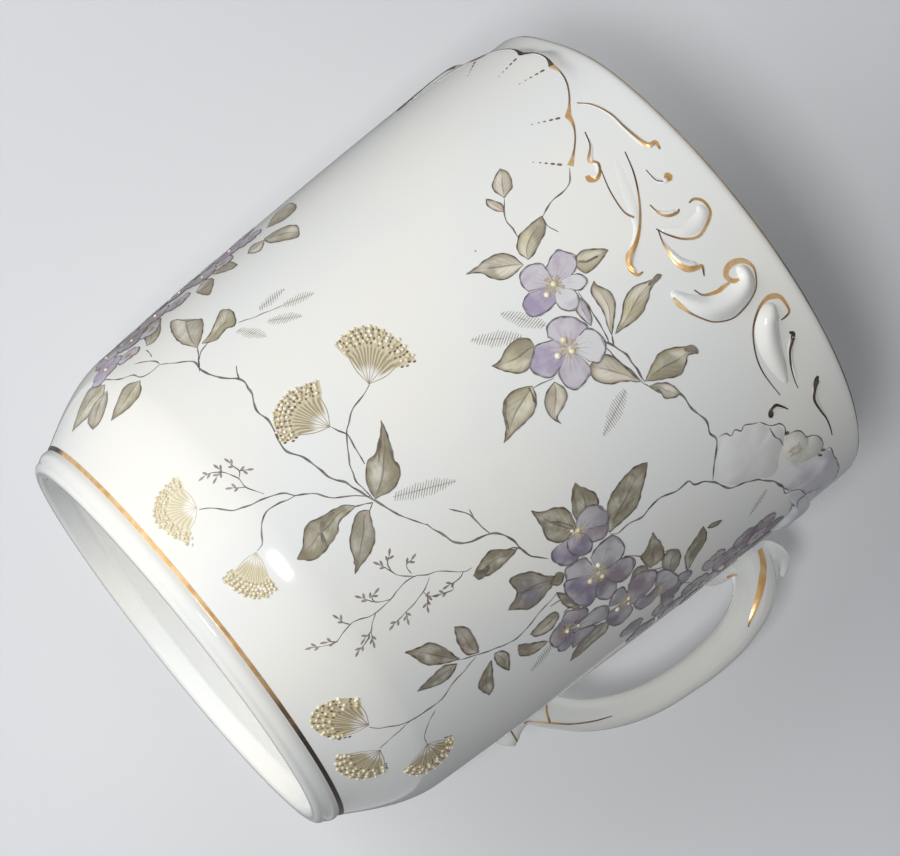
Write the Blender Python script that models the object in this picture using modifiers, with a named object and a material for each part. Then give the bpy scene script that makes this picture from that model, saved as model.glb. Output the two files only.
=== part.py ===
"""Espresso cup in white porcelain: a turned body on a foot ring, a looped handle and relief sprigs.

Metres, +Z up. The cup stands on z = 0 with its handle towards +X.
The middle of its box is over the origin.
"""

import math

import bmesh
import bpy

# Cup body
CUP_HEIGHT = 0.0660
RIM_RADIUS = 0.02925
BASE_RADIUS = 0.0233  # where the body meets the foot ring
WALL_SPREAD = 0.0026  # how far the wall leans out from base to rim
FLARE_HEIGHT = 0.0098  # the base rounds out into the wall over this height
WALL_THICKNESS = 0.0022
LIP_THICKNESS = 0.0016
FLOOR_THICKNESS = 0.0030
FLOOR_ROUND = 0.0060  # the round between the floor and the wall inside

# Foot ring
FOOT_HEIGHT = 0.0022
FOOT_RADIUS = 0.0229
FOOT_WIDTH = 0.0032
FOOT_EDGE = 0.0007

# Handle, measured from the wall that carries it
HANDLE_DROP = 0.0107  # upper root below the rim
HANDLE_SPAN = 0.0290  # upper root to lower root
HANDLE_REACH = 0.0120  # wall to the middle of the loop
HANDLE_DEPTH = 0.0034
HANDLE_WIDTH = 0.0040
BRACKET_DROP = 0.0055  # the bracket's foot on the wall below the upper root
BRACKET_RADIUS = 0.0008
SPUR_RADIUS = 0.0013
TERMINAL_RADIUS = 0.0014
ROOT_SINK = 0.0010  # how far a root starts inside the wall before it is trimmed

# Relief
BORDER_RADIUS = 0.00025
SCALLOP_RISE = 0.13  # height of each scallop over its own chord
BORDER_MIDDLE = -195.0  # the border is alike on both sides of this angle
BACK_TURN = 4.0  # the back sprigs sit this much nearer the handle
BLOSSOM_SIZE = (0.0060, 0.0043, 0.0020)  # half width, half height and rise
LEAF_SIZE = (0.0042, 0.0032, 0.0012)
BUD_SIZE = (0.0039, 0.0032, 0.0018)
LOBE_DEPTH = 0.3  # how deep the notches between petals run, as a share of the radius
DIMPLE_REACH = 0.4  # radius of the sunk middle, as a share of the boss
DIMPLE_DEPTH = 0.35

SLIP_GAP = 0.0003  # joint between two luted pieces
FORMER_MARGIN = 0.002  # how far a cutter runs past what it cuts

# Mesh steps
SIDES = 64
FLARE_STEPS = 7
WALL_STEPS = 7
ROUND_STEPS = 6
EDGE_STEPS = 4

GLAZE_WHITE = (0.86, 0.86, 0.83, 1.0)
GLAZE_ROUGHNESS = 0.12

# Cusps of the scalloped border on its front half: angle in degrees, drop below the rim.
BORDER_CUSPS = (
    (-183, 0.0064),
    (-171, 0.0041),
    (-160, 0.0036),
    (-148, 0.0068),
    (-140, 0.0104),
    (-134.5, 0.0156),
)
BORDER_LOW_CUSP = 0.0146

# Sprigs: angle in degrees, drop below the rim, and how far the ridge stands proud.
FRONT_SPRIGS = {
    "s_scroll": (
        (-145.5, 0.0045, 0.00015),
        (-142, 0.0039, 0.00025),
        (-136, 0.0039, 0.00035),
        (-132, 0.0033, 0.00050),
        (-130.5, 0.0029, 0.00020),
    ),
    "hook_scroll": (
        (-140, 0.0068, 0.00015),
        (-137.5, 0.0080, 0.00025),
        (-134.5, 0.0083, 0.00030),
        (-132.5, 0.0094, 0.00035),
        (-134.5, 0.0100, 0.00050),
    ),
    "long_leaf": (
        (-133, 0.0066, 0.00020),
        (-129, 0.0080, 0.00075),
        (-123.5, 0.0093, 0.00065),
        (-119.5, 0.0114, 0.00040),
        (-116, 0.0127, 0.00020),
    ),
    "bud_comma": ((-129, 0.0054, 0.00015), (-126.5, 0.0052, 0.00035), (-125, 0.0044, 0.00055)),
    "small_hook": ((-123, 0.0075, 0.00015), (-120.5, 0.0072, 0.00035), (-119, 0.0057, 0.00030)),
    "c_scroll": (
        (-117, 0.0079, 0.00015),
        (-114.5, 0.0069, 0.00040),
        (-113, 0.0052, 0.00045),
        (-115.5, 0.0032, 0.00040),
        (-118.5, 0.0038, 0.00030),
    ),
    "leaf_scroll": (
        (-116.5, 0.0094, 0.00015),
        (-113.5, 0.0093, 0.00035),
        (-110.5, 0.0089, 0.00050),
        (-108, 0.0075, 0.00030),
    ),
}
BOTH_SIDE_SPRIGS = {
    "big_scroll": (
        (-109, 0.0115, 0.00020),
        (-104.5, 0.0105, 0.00070),
        (-101, 0.0090, 0.00100),
        (-99, 0.0068, 0.00100),
        (-100.5, 0.0046, 0.00090),
        (-103.5, 0.0044, 0.00050),
    ),
    "tall_comma": (
        (-77, 0.0066, 0.00020),
        (-82, 0.0065, 0.00055),
        (-88, 0.0058, 0.00090),
        (-92, 0.0046, 0.00100),
        (-93.5, 0.0036, 0.00080),
    ),
    "slim_comma": (
        (-86, 0.0026, 0.00035),
        (-84, 0.0033, 0.00035),
        (-79.5, 0.0042, 0.00025),
        (-75, 0.0046, 0.00015),
    ),
    "rim_comma": (
        (-74, 0.0026, 0.00035),
        (-72.5, 0.0035, 0.00030),
        (-68, 0.0040, 0.00020),
        (-64, 0.0038, 0.00010),
    ),
    "curl": ((-71.5, 0.0070, 0.00015), (-74.5, 0.0079, 0.00025), (-76, 0.0089, 0.00045)),
}

# Relief flower: angle and drop of the middle of each piece, its size and its petals.
FLOWER_PIECES = {
    "blossom": ((-54, 0.0074), BLOSSOM_SIZE, 5),
    "blossom_leaf": ((-70, 0.0132), LEAF_SIZE, 1),
    "blossom_bud": ((-33, 0.0066), BUD_SIZE, 3),
}

# Handle loop: share of HANDLE_REACH out from the wall, of HANDLE_SPAN down from the upper root, and fullness.
UPPER_ROOT_FULLNESS = 1.4
LOWER_ROOT_FULLNESS = 1.1
LOOP_SHAPE = (
    (0.40, -0.02, 1.35),
    (0.75, 0.03, 1.3),
    (0.93, 0.15, 1.18),
    (1.00, 0.29, 1.08),
    (1.00, 0.44, 1.0),
    (0.945, 0.60, 1.0),
    (0.815, 0.74, 1.0),
    (0.66, 0.84, 1.0),
    (0.49, 0.91, 1.03),
    (0.28, 0.975, 1.08),
)
# Side pieces of the handle: out and up from where each one starts, and fullness.
SPUR_SHAPE = ((0.0, 0.0, 1.0), (0.0015, 0.0024, 1.0), (0.0034, 0.0035, 0.7), (0.0052, 0.0029, 0.25))
BRACKET_SHAPE = ((0.0, 0.0, 1.3), (0.0032, 0.0001, 1.0), (0.0054, 0.0014, 1.0))
TERMINAL_SHAPE = ((0.0, 0.0, 0.8), (0.0008, -0.0024, 1.0), (0.0023, -0.0041, 0.9), (0.0036, -0.0049, 0.3))


def wall_radius(height):
    """Outer radius of the body: a quarter wave for the flare, and a slow one for the lean of the wall."""
    above_base = max(height - FOOT_HEIGHT, 0.0)
    flare = RIM_RADIUS - BASE_RADIUS - WALL_SPREAD
    flared = math.sin(min(above_base / FLARE_HEIGHT, 1.0) * math.pi / 2)
    leaned = math.sin(min(above_base / (CUP_HEIGHT - FOOT_HEIGHT), 1.0) * math.pi / 2)
    return BASE_RADIUS + flare * flared + WALL_SPREAD * leaned


def on_wall(angle, drop, proud):
    """A point that stands proud of the wall, at an angle in degrees and a drop below the rim."""
    height = CUP_HEIGHT - drop
    radius = wall_radius(height) + proud
    turn = math.radians(angle)
    return (radius * math.cos(turn), radius * math.sin(turn), height)


def clear_scene():
    for obj in list(bpy.data.objects):
        bpy.data.objects.remove(obj, do_unlink=True)


def new_collection(name):
    collection = bpy.data.collections.new(name)
    bpy.context.scene.collection.children.link(collection)
    return collection


def glaze(name):
    material = bpy.data.materials.new(name + "_glaze")
    material.use_nodes = True
    shader = material.node_tree.nodes["Principled BSDF"]
    shader.inputs["Base Color"].default_value = GLAZE_WHITE
    shader.inputs["Roughness"].default_value = GLAZE_ROUGHNESS
    shader.inputs["Metallic"].default_value = 0.0
    return material


def add_part(name, mesh):
    part = bpy.data.objects.new(name, mesh)
    part.parent = cup_axis
    mesh.materials.append(glaze(name))
    mesh.shade_smooth()
    mesh.set_sharp_from_angle(angle=math.radians(40))
    cup_parts.objects.link(part)
    return part


def add_cutter(name, mesh):
    cutter = bpy.data.objects.new(name, mesh)
    cutter.parent = cup_axis
    cutter.hide_render = True
    cutter.display_type = "WIRE"
    cutters.objects.link(cutter)
    return cutter


def profile_mesh(name, points, closed=False):
    mesh = bpy.data.meshes.new(name)
    edges = [(i, i + 1) for i in range(len(points) - 1)]
    if closed:
        edges.append((len(points) - 1, 0))
    mesh.from_pydata([(radius, 0.0, height) for radius, height in points], edges, [])
    return mesh


def turn_round(part):
    screw = part.modifiers.new("turned", "SCREW")
    screw.axis = "Z"
    screw.angle = 2 * math.pi
    screw.steps = SIDES
    screw.render_steps = SIDES
    screw.use_merge_vertices = True
    screw.merge_threshold = 0.00001
    screw.use_smooth_shade = True


def cut(part, cutter):
    boolean = part.modifiers.new("clear_of_" + cutter.name, "BOOLEAN")
    boolean.operation = "DIFFERENCE"
    boolean.object = cutter


def spread(first, last, count):
    return [first + (last - first) * i / (count - 1) for i in range(count)]


def arc(centre, radius, start, end, count):
    """Points of a round in the turned profile, with angles in degrees."""
    turns = [math.radians(turn) for turn in spread(start, end, count)]
    return [(centre[0] + radius * math.cos(turn), centre[1] + radius * math.sin(turn)) for turn in turns]


def outer_heights():
    flare_top = FOOT_HEIGHT + FLARE_HEIGHT
    flare = spread(FOOT_HEIGHT, flare_top, FLARE_STEPS)
    return flare + spread(flare_top, CUP_HEIGHT - LIP_THICKNESS / 2, WALL_STEPS)[1:]


def inner_radius(height):
    """The wall thins evenly from the base to the lip."""
    share = (height - FOOT_HEIGHT) / (CUP_HEIGHT - FOOT_HEIGHT)
    return wall_radius(height) - WALL_THICKNESS - (LIP_THICKNESS - WALL_THICKNESS) * share


def make_body():
    floor = FOOT_HEIGHT + FLOOR_THICKNESS
    corner_top = floor + FLOOR_ROUND
    lip_height = CUP_HEIGHT - LIP_THICKNESS / 2
    corner = (inner_radius(corner_top) - FLOOR_ROUND, corner_top)
    lip = (inner_radius(lip_height) + LIP_THICKNESS / 2, lip_height)
    inside = [(inner_radius(height), height) for height in spread(corner_top, lip_height, WALL_STEPS)]
    outside = [(wall_radius(height), height) for height in reversed(outer_heights())]
    points = [(0.0, floor)]
    points += arc(corner, FLOOR_ROUND, -90, 0, ROUND_STEPS)[:-1]
    points += inside
    points += arc(lip, LIP_THICKNESS / 2, 180, 0, ROUND_STEPS)[1:-1]
    points += outside
    points.append((0.0, FOOT_HEIGHT))
    turn_round(add_part("cup_body", profile_mesh("cup_body", points)))


def make_foot_ring():
    top = FOOT_HEIGHT - SLIP_GAP
    inner = FOOT_RADIUS - FOOT_WIDTH
    points = [(inner, top), (BASE_RADIUS, top)]
    points += arc((FOOT_RADIUS - FOOT_EDGE, FOOT_EDGE), FOOT_EDGE, 0, -90, EDGE_STEPS)
    points += arc((inner + FOOT_EDGE, FOOT_EDGE), FOOT_EDGE, -90, -180, EDGE_STEPS)
    turn_round(add_part("foot_ring", profile_mesh("foot_ring", points, closed=True)))


def make_wall_former():
    """The body's outside, larger by the slip joint, which everything on the wall is trimmed to."""
    top = CUP_HEIGHT + FORMER_MARGIN
    points = [(0.0, top), (RIM_RADIUS + SLIP_GAP, top)]
    points += [(wall_radius(height) + SLIP_GAP, height) for height in reversed(outer_heights())]
    points.append((0.0, FOOT_HEIGHT))
    former = add_cutter("wall_former", profile_mesh("wall_former", points))
    turn_round(former)
    return former


def rod_mesh(name, points, radii, resolution=3):
    """A solid rod on a smooth curve through the points, with its own radius at each of them."""
    curve = bpy.data.curves.new(name, "CURVE")
    curve.dimensions = "3D"
    curve.resolution_u = resolution
    curve.bevel_depth = 1.0
    curve.bevel_resolution = 2
    curve.use_fill_caps = True
    spline = curve.splines.new("BEZIER")
    spline.bezier_points.add(len(points) - 1)
    for knot, place, radius in zip(spline.bezier_points, points, radii):
        knot.co = place
        knot.radius = radius
        knot.handle_left_type = "AUTO"
        knot.handle_right_type = "AUTO"
    guide = bpy.data.objects.new(name + "_guide", curve)
    bpy.context.scene.collection.objects.link(guide)
    graph = bpy.context.evaluated_depsgraph_get()
    mesh = bpy.data.meshes.new_from_object(guide.evaluated_get(graph))
    bpy.data.objects.remove(guide, do_unlink=True)
    solid = bmesh.new()
    solid.from_mesh(mesh)
    bmesh.ops.remove_doubles(solid, verts=solid.verts, dist=0.000001)
    bmesh.ops.recalc_face_normals(solid, faces=solid.faces)
    solid.to_mesh(mesh)
    solid.free()
    mesh.name = name
    return mesh


def handle_point(out, down):
    """A place in the handle's plane: out from the wall, and down from the upper root."""
    height = CUP_HEIGHT - HANDLE_DROP - down
    return (wall_radius(height) + out, 0.0, height)


def loop_points():
    roots = (handle_point(-ROOT_SINK, 0.0), handle_point(-ROOT_SINK, HANDLE_SPAN))
    between = [handle_point(HANDLE_REACH * out, HANDLE_SPAN * down) for out, down, fullness in LOOP_SHAPE]
    return [roots[0]] + between + [roots[1]]


def loop_radii():
    fullness = [UPPER_ROOT_FULLNESS] + [point[2] for point in LOOP_SHAPE] + [LOWER_ROOT_FULLNESS]
    return [HANDLE_DEPTH / 2 * share for share in fullness]


def loop_mesh(name, clearance):
    radii = [radius + clearance for radius in loop_radii()]
    mesh = rod_mesh(name, loop_points(), radii)
    widen = (HANDLE_WIDTH / 2 + clearance) / (HANDLE_DEPTH / 2 + clearance)
    for vertex in mesh.vertices:
        vertex.co.y *= widen
    return mesh


def branch_mesh(name, start, shape, radius, end=None):
    """A small rod that leaves the loop or the wall, and may run on to a given end."""
    points = [(start[0] + out, start[1], start[2] + up) for out, up, fullness in shape]
    radii = [radius * fullness for out, up, fullness in shape]
    if end:
        points.append(end)
        radii.append(radius)
    return rod_mesh(name, points, radii)


def make_handle(wall_former):
    loop = add_part("handle_loop", loop_mesh("handle_loop", 0.0))
    cut(loop, wall_former)
    loop_former = add_cutter("loop_former", loop_mesh("loop_former", SLIP_GAP))
    shoulder = loop_points()[1]
    lower_root = loop_points()[-2]
    bracket_foot = handle_point(-ROOT_SINK, BRACKET_DROP)
    branches = {
        "handle_thumb_spur": (shoulder, SPUR_SHAPE, SPUR_RADIUS),
        "handle_bracket": (bracket_foot, BRACKET_SHAPE, BRACKET_RADIUS, shoulder),
        "handle_terminal": (lower_root, TERMINAL_SHAPE, TERMINAL_RADIUS),
    }
    for name, branch in branches.items():
        piece = add_part(name, branch_mesh(name, *branch))
        cut(piece, loop_former)
        cut(piece, wall_former)


def scallop(start, end):
    """Points of one arc from cusp to cusp, bulging towards the rim."""
    run = math.radians(end[0] - start[0]) * RIM_RADIUS
    chord = math.hypot(run, end[1] - start[1])
    points = []
    for share in (0.0, 0.25, 0.5, 0.75):
        bulge = SCALLOP_RISE * chord * 4 * share * (1 - share)
        angle = start[0] + (end[0] - start[0]) * share
        points.append((angle, start[1] + (end[1] - start[1]) * share - bulge))
    return points


def make_border(wall_former):
    back = [(2 * BORDER_MIDDLE - angle, drop) for angle, drop in reversed(BORDER_CUSPS)]
    cusps = back + [(BORDER_MIDDLE, BORDER_LOW_CUSP)] + list(BORDER_CUSPS)
    path = []
    for start, end in zip(cusps, cusps[1:]):
        path += scallop(start, end)
    path.append(cusps[-1])
    points = [on_wall(angle, drop, 0.0) for angle, drop in path]
    radii = [SLIP_GAP + BORDER_RADIUS] * len(points)
    mesh = rod_mesh("rocaille_border", points, radii, resolution=1)
    cut(add_part("rocaille_border", mesh), wall_former)


def side_angle(angle, side):
    """Side -1 takes a place on the front to the back, across the handle's plane."""
    return angle if side == 1 else -(angle + BACK_TURN)


def make_sprig(name, path, wall_former, side=1):
    points = [on_wall(side_angle(angle, side), drop, 0.0) for angle, drop, proud in path]
    radii = [SLIP_GAP + proud for angle, drop, proud in path]
    cut(add_part(name, rod_mesh(name, points, radii)), wall_former)


def boss_mesh(name, place, size, petals, side):
    """A flat-bellied boss rolled on the wall, with lobes round its edge and a sunk middle."""
    half_width, half_height, rise = size
    solid = bmesh.new()
    bmesh.ops.create_uvsphere(solid, u_segments=max(16, petals * 5), v_segments=8, radius=1.0)
    for vertex in solid.verts:
        across = math.hypot(vertex.co.x, vertex.co.y)
        round_middle = math.atan2(vertex.co.y, vertex.co.x)
        lobe = 1 - LOBE_DEPTH * (1 - abs(math.cos(petals / 2 * round_middle)))
        dimple = DIMPLE_DEPTH * max(0.0, DIMPLE_REACH - across)
        angle = place[0] + math.degrees(half_width * lobe * vertex.co.x / RIM_RADIUS)
        drop = place[1] - half_height * lobe * vertex.co.y
        proud = (rise + SLIP_GAP) * vertex.co.z * (1 - dimple)
        vertex.co = on_wall(side_angle(angle, side), drop, proud)
    bmesh.ops.recalc_face_normals(solid, faces=solid.faces)
    mesh = bpy.data.meshes.new(name)
    solid.to_mesh(mesh)
    solid.free()
    return mesh


def make_relief(wall_former):
    make_border(wall_former)
    for name, path in FRONT_SPRIGS.items():
        make_sprig(name, path, wall_former)
    for suffix, side in (("_front", 1), ("_back", -1)):
        for name, path in BOTH_SIDE_SPRIGS.items():
            make_sprig(name + suffix, path, wall_former, side)
        for name, (place, size, petals) in FLOWER_PIECES.items():
            mesh = boss_mesh(name + suffix, place, size, petals, side)
            cut(add_part(name + suffix, mesh), wall_former)


def centre_over_origin():
    """The box runs from the border opposite the handle to the outside of the loop."""
    reach = max(point[0] + radius for point, radius in zip(loop_points(), loop_radii()))
    back = RIM_RADIUS + SLIP_GAP + BORDER_RADIUS
    cup_axis.location.x = (back - reach) / 2


clear_scene()
cup_parts = new_collection("espresso_cup")
cutters = new_collection("cutters")
cup_axis = bpy.data.objects.new("cup_axis", None)
cup_parts.objects.link(cup_axis)
centre_over_origin()
make_body()
make_foot_ring()
former = make_wall_former()
make_handle(former)
make_relief(former)
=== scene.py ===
# %% [markdown]
# # An espresso cup in white porcelain
#
# The real cup is thin glazed porcelain with a looped handle. Low relief scrolls run under the rim, the
# wall carries sprays of leaves and lilac blossoms in enamel, and the edges and scrolls are gilded.
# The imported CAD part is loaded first, because it fixes every size and place. Each plain solid of it is
# then stood for by a finer mesh that lies where the solid lies.

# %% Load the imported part
import math
import random

import bpy
import numpy as np
from mathutils import Matrix, Vector
from mathutils.bvhtree import BVHTree


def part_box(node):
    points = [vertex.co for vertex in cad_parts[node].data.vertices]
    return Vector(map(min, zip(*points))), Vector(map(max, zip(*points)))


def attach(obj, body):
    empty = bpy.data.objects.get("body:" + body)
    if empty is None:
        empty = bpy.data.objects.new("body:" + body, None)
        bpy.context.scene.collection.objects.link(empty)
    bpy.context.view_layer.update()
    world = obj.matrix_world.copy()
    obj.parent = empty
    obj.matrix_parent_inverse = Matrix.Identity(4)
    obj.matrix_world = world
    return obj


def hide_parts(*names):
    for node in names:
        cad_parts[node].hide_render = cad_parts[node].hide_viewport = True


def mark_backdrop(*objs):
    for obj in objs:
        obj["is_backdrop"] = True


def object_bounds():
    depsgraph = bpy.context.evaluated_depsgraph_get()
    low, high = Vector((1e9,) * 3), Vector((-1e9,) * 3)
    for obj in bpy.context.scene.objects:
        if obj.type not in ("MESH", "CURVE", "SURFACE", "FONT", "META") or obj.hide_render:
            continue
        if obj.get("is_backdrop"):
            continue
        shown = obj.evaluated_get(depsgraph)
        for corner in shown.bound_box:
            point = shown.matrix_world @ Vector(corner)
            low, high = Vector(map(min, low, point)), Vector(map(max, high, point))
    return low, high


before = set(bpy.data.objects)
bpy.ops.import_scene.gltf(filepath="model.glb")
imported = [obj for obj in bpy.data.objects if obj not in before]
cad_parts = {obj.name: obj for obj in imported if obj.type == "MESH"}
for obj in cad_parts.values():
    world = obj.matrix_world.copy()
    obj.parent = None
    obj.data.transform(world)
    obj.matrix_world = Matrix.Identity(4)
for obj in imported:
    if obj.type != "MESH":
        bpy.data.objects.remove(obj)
cad_box = [list(corner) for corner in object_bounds()]
bpy.ops.object.select_all(action="DESELECT")
MM = 0.001
print(len(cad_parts), "nodes in a box of", np.round(np.subtract(*cad_box[::-1]) / MM, 2), "mm")

# %% [markdown]
# ## Sizes
#
# The cup is a turned shape, so a few radii and heights describe it. They are read from the boxes of the
# CAD nodes where a box gives them, and the curve of the wall uses the same formula as the CAD source: a
# quick quarter wave for the flare over the foot, and a slow one for the lean up to the rim.

# %% Sizes of the turned body
body_low, body_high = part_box("cup_body")
foot_low, foot_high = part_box("foot_ring")
AXIS_X = (body_low.x + body_high.x) / 2
CUP_HEIGHT = body_high.z
RIM_RADIUS = (body_high.x - body_low.x) / 2
BASE_RADIUS = (foot_high.x - foot_low.x) / 2
FOOT_HEIGHT = body_low.z
WALL_SPREAD = 2.6 * MM
FLARE_HEIGHT = 9.8 * MM


def wall_radius(height):
    """Outer radius of the wall at a height, for one height or an array of them."""
    above_base = np.clip(np.subtract(height, FOOT_HEIGHT), 0, None)
    flared = np.sin(np.minimum(above_base / FLARE_HEIGHT, 1) * np.pi / 2)
    leaned = np.sin(np.minimum(above_base / (CUP_HEIGHT - FOOT_HEIGHT), 1) * np.pi / 2)
    return BASE_RADIUS + (RIM_RADIUS - BASE_RADIUS - WALL_SPREAD) * flared + WALL_SPREAD * leaned


print("rim", round(RIM_RADIUS / MM, 2), "base", round(BASE_RADIUS / MM, 2), "height", round(CUP_HEIGHT / MM, 2))

# %% [markdown]
# ## Camera
#
# The cup lies on its side in the picture, so in its own frame the camera looks up at it from below, and
# is rolled over. The camera comes early, because the painted sprays are placed by the pixels where they
# are seen: a ray through the pixel is followed until it meets the wall.

# %% Camera at the picture's angle
PICTURE_WIDTH = 900
PICTURE_HEIGHT = 856
FOCAL_PIXELS = 3156
SENSOR = 36.0
CAMERA_TURN = math.radians(-115.0)
CAMERA_RISE = math.radians(-11.68)
CAMERA_ROLL = math.radians(51.45)
CAMERA_DISTANCE = 0.3235
AIM = Vector((AXIS_X, 0, 0.036))

outward = Vector((math.cos(CAMERA_TURN), math.sin(CAMERA_TURN), math.tan(CAMERA_RISE))).normalized()
level = (-outward).to_track_quat("-Z", "Y").to_matrix()
turned_camera = (level @ Matrix.Rotation(CAMERA_ROLL, 3, "Z")).to_4x4()
bpy.ops.object.camera_add()
camera = bpy.context.object
camera.name = "picture_camera"
camera.data.sensor_width = SENSOR
camera.data.lens = FOCAL_PIXELS * SENSOR / PICTURE_WIDTH
camera.data.clip_start = 0.01
camera.matrix_world = Matrix.Translation(AIM + outward * CAMERA_DISTANCE) @ turned_camera
bpy.context.scene.camera = camera
EYE = np.array(AIM + outward * CAMERA_DISTANCE)
RIGHT, UP, BACKWARD = (np.array(turned_camera.col[i][:3]) for i in range(3))
print("camera at", np.round(EYE / MM, 1), "mm")

# %% [markdown]
# ## The transfer sheet
#
# Potters print such sprays flat on a transfer sheet and roll the sheet round the wall. The same is done
# here. A sheet place is a distance round the wall and a height, and `sheet_at` finds the sheet place that
# is seen at a pixel.

# %% From pixels to the sheet
SHEET_RADIUS = 28.0 * MM
SIGHT_STEPS = np.linspace(0.265, 0.345, 2400)  # metres from the eye
SHEET_SEAM = 60.0  # the sheet's two ends meet at this angle, behind the handle


def sight(pixel):
    """The direction in which the camera sees a pixel."""
    ray = RIGHT * (pixel[0] - PICTURE_WIDTH / 2) - UP * (pixel[1] - PICTURE_HEIGHT / 2)
    ray = ray - BACKWARD * FOCAL_PIXELS
    return ray / np.linalg.norm(ray)


def sheet_at(pixel):
    """Sheet place of the wall under a pixel, or of the nearest wall where the ray just misses."""
    places = EYE + SIGHT_STEPS[:, None] * sight(pixel)
    x, y, z = places[:, 0] - AXIS_X, places[:, 1], places[:, 2]
    gap = np.hypot(x, y) - wall_radius(z)
    inside = np.flatnonzero(gap < 0)
    first = inside[0] if len(inside) else gap.argmin()
    angle = math.degrees(math.atan2(y[first], x[first]))
    if angle > SHEET_SEAM:
        angle -= 360
    return np.array([math.radians(angle) * SHEET_RADIUS, z[first]])


def sheet_of(angle, drop):
    """Sheet place of an angle in degrees and a drop below the rim in millimetres."""
    return np.array([math.radians(angle) * SHEET_RADIUS, CUP_HEIGHT - drop * MM])


def place_of(spot):
    """Sheet place of a pixel, or of an angle below zero and a drop where the picture can't see."""
    return sheet_of(*spot[:2]) if spot[0] < 0 else sheet_at(spot)


node_angle, node_height = sheet_at((373, 500)) / (SHEET_RADIUS, MM)
print("main node of the sprays at", round(math.degrees(node_angle), 1), "degrees,", round(node_height, 1), "mm")

# %% [markdown]
# ## The pressed rim
#
# Opposite the handle the mould presses the rim back behind a scalloped border, so the border is a small
# step in the wall. The border runs through the same cusps as the CAD node, and each scallop bulges towards
# the rim. The step is deepest in the middle of the border and has died out where its tails begin.

# %% Border line and the step behind it
BORDER_CUSPS = ((-185, 6.1), (-172.5, 3.9), (-162.5, 3.5), (-149.2, 6.7), (-140.2, 10.3), (-134.5, 15.6))
BORDER_MIDDLE = -195.0
BORDER_LOW_CUSP = 14.6
SCALLOP_RISE = 0.13
SCALLOP_PLACES = 12
STEP_DEPTH = 1.3 * MM
STEP_FULL = 16.0  # degrees to each side of the middle where the step is still at its deepest
STEP_GONE = 45.0


def scallop(start, end):
    """Angles and drops of one arc from cusp to cusp."""
    run = math.radians(end[0] - start[0]) * RIM_RADIUS / MM
    chord = math.hypot(run, end[1] - start[1])
    shares = np.linspace(0, 1, SCALLOP_PLACES, endpoint=False)
    bulge = SCALLOP_RISE * chord * 4 * shares * (1 - shares)
    return [
        (start[0] + (end[0] - start[0]) * share, start[1] + (end[1] - start[1]) * share - rise)
        for share, rise in zip(shares, bulge)
    ]


mirrored_cusps = [(2 * BORDER_MIDDLE - angle, drop) for angle, drop in reversed(BORDER_CUSPS)]
cusps = mirrored_cusps + [(BORDER_MIDDLE, BORDER_LOW_CUSP)] + list(BORDER_CUSPS)
border_line = [place for start, end in zip(cusps, cusps[1:]) for place in scallop(start, end)] + [cusps[-1]]
border_angles, border_drops = np.array(border_line).T


def eased(value, low, high):
    share = np.clip((value - low) / (high - low), 0, 1)
    return share * share * (3 - 2 * share)


def step_depth(angle, height):
    """How far the wall is pressed in, at angles in radians and heights."""
    turn = (np.degrees(angle) - BORDER_MIDDLE + 180) % 360 - 180
    edge = np.interp(turn + BORDER_MIDDLE, border_angles, border_drops) * MM
    above_edge = height - (CUP_HEIGHT - edge)
    return STEP_DEPTH * eased(np.abs(turn), STEP_GONE, STEP_FULL) * eased(above_edge, -0.1 * MM, 1.8 * MM)


def rolled(sheet, proud):
    """Places on the cup for an array of sheet places that stand proud of the wall."""
    angle = sheet[..., 0] / SHEET_RADIUS
    radius = wall_radius(sheet[..., 1]) - step_depth(angle, sheet[..., 1]) + proud
    return np.stack([AXIS_X + radius * np.cos(angle), radius * np.sin(angle), sheet[..., 1]], axis=-1)


print(len(border_line), "places along the border")

# %% [markdown]
# ## Helpers for meshes
#
# Most pieces here are thin: bands of gilding, leaves, petals and ridges of clay. Each starts as a grid
# primitive, whose points are then moved to their places, so it keeps the grid's tidy faces and UV map.
# UV x runs along the piece and UV y across it, which lets a material draw veins and outlines.

# %% Grid, smooth line and joined piece
dice = random.Random(11)


def placed_grid(name, places):
    """A grid primitive with its points moved to an array of places, rows across and columns along."""
    rows, columns = places.shape[:2]
    bpy.ops.object.select_all(action="DESELECT")
    bpy.ops.mesh.primitive_grid_add(x_subdivisions=columns - 1, y_subdivisions=rows - 1, size=1)
    piece = bpy.context.object
    piece.name = name
    flat = np.empty(len(piece.data.vertices) * 3)
    piece.data.vertices.foreach_get("co", flat)
    flat = flat.reshape(-1, 3) + 0.5
    row = np.rint(flat[:, 1] * (rows - 1)).astype(int)
    column = np.rint(flat[:, 0] * (columns - 1)).astype(int)
    piece.data.vertices.foreach_set("co", places[row, column].ravel())
    piece.data.update()
    return piece


def flowing(points, step):
    """A smooth line through points, with a place about every step. Later columns are carried along."""
    points = np.asarray(points, float)
    run = np.vstack([2 * points[0] - points[1], points, 2 * points[-1] - points[-2]])
    stretches = []
    for before, start, end, after in zip(run, run[1:], run[2:], run[3:]):
        count = max(2, math.ceil(np.linalg.norm((end - start)[:2]) / step))
        share = np.linspace(0, 1, count, endpoint=False)[:, None]
        curve = 2 * start + (end - before) * share
        curve = curve + (2 * before - 5 * start + 4 * end - after) * share**2
        curve = curve + (3 * start - before - 3 * end + after) * share**3
        stretches.append(curve / 2)
    return np.vstack(stretches + [points[-1:]])


def joined(name, parts):
    """Joins parts into one piece."""
    bpy.ops.object.select_all(action="DESELECT")
    for part in parts:
        part.select_set(True)
    bpy.context.view_layer.objects.active = parts[0]
    if len(parts) > 1:
        bpy.ops.object.join()
    piece = bpy.context.object
    piece.name = name
    bpy.ops.object.shade_smooth()
    return piece


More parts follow.
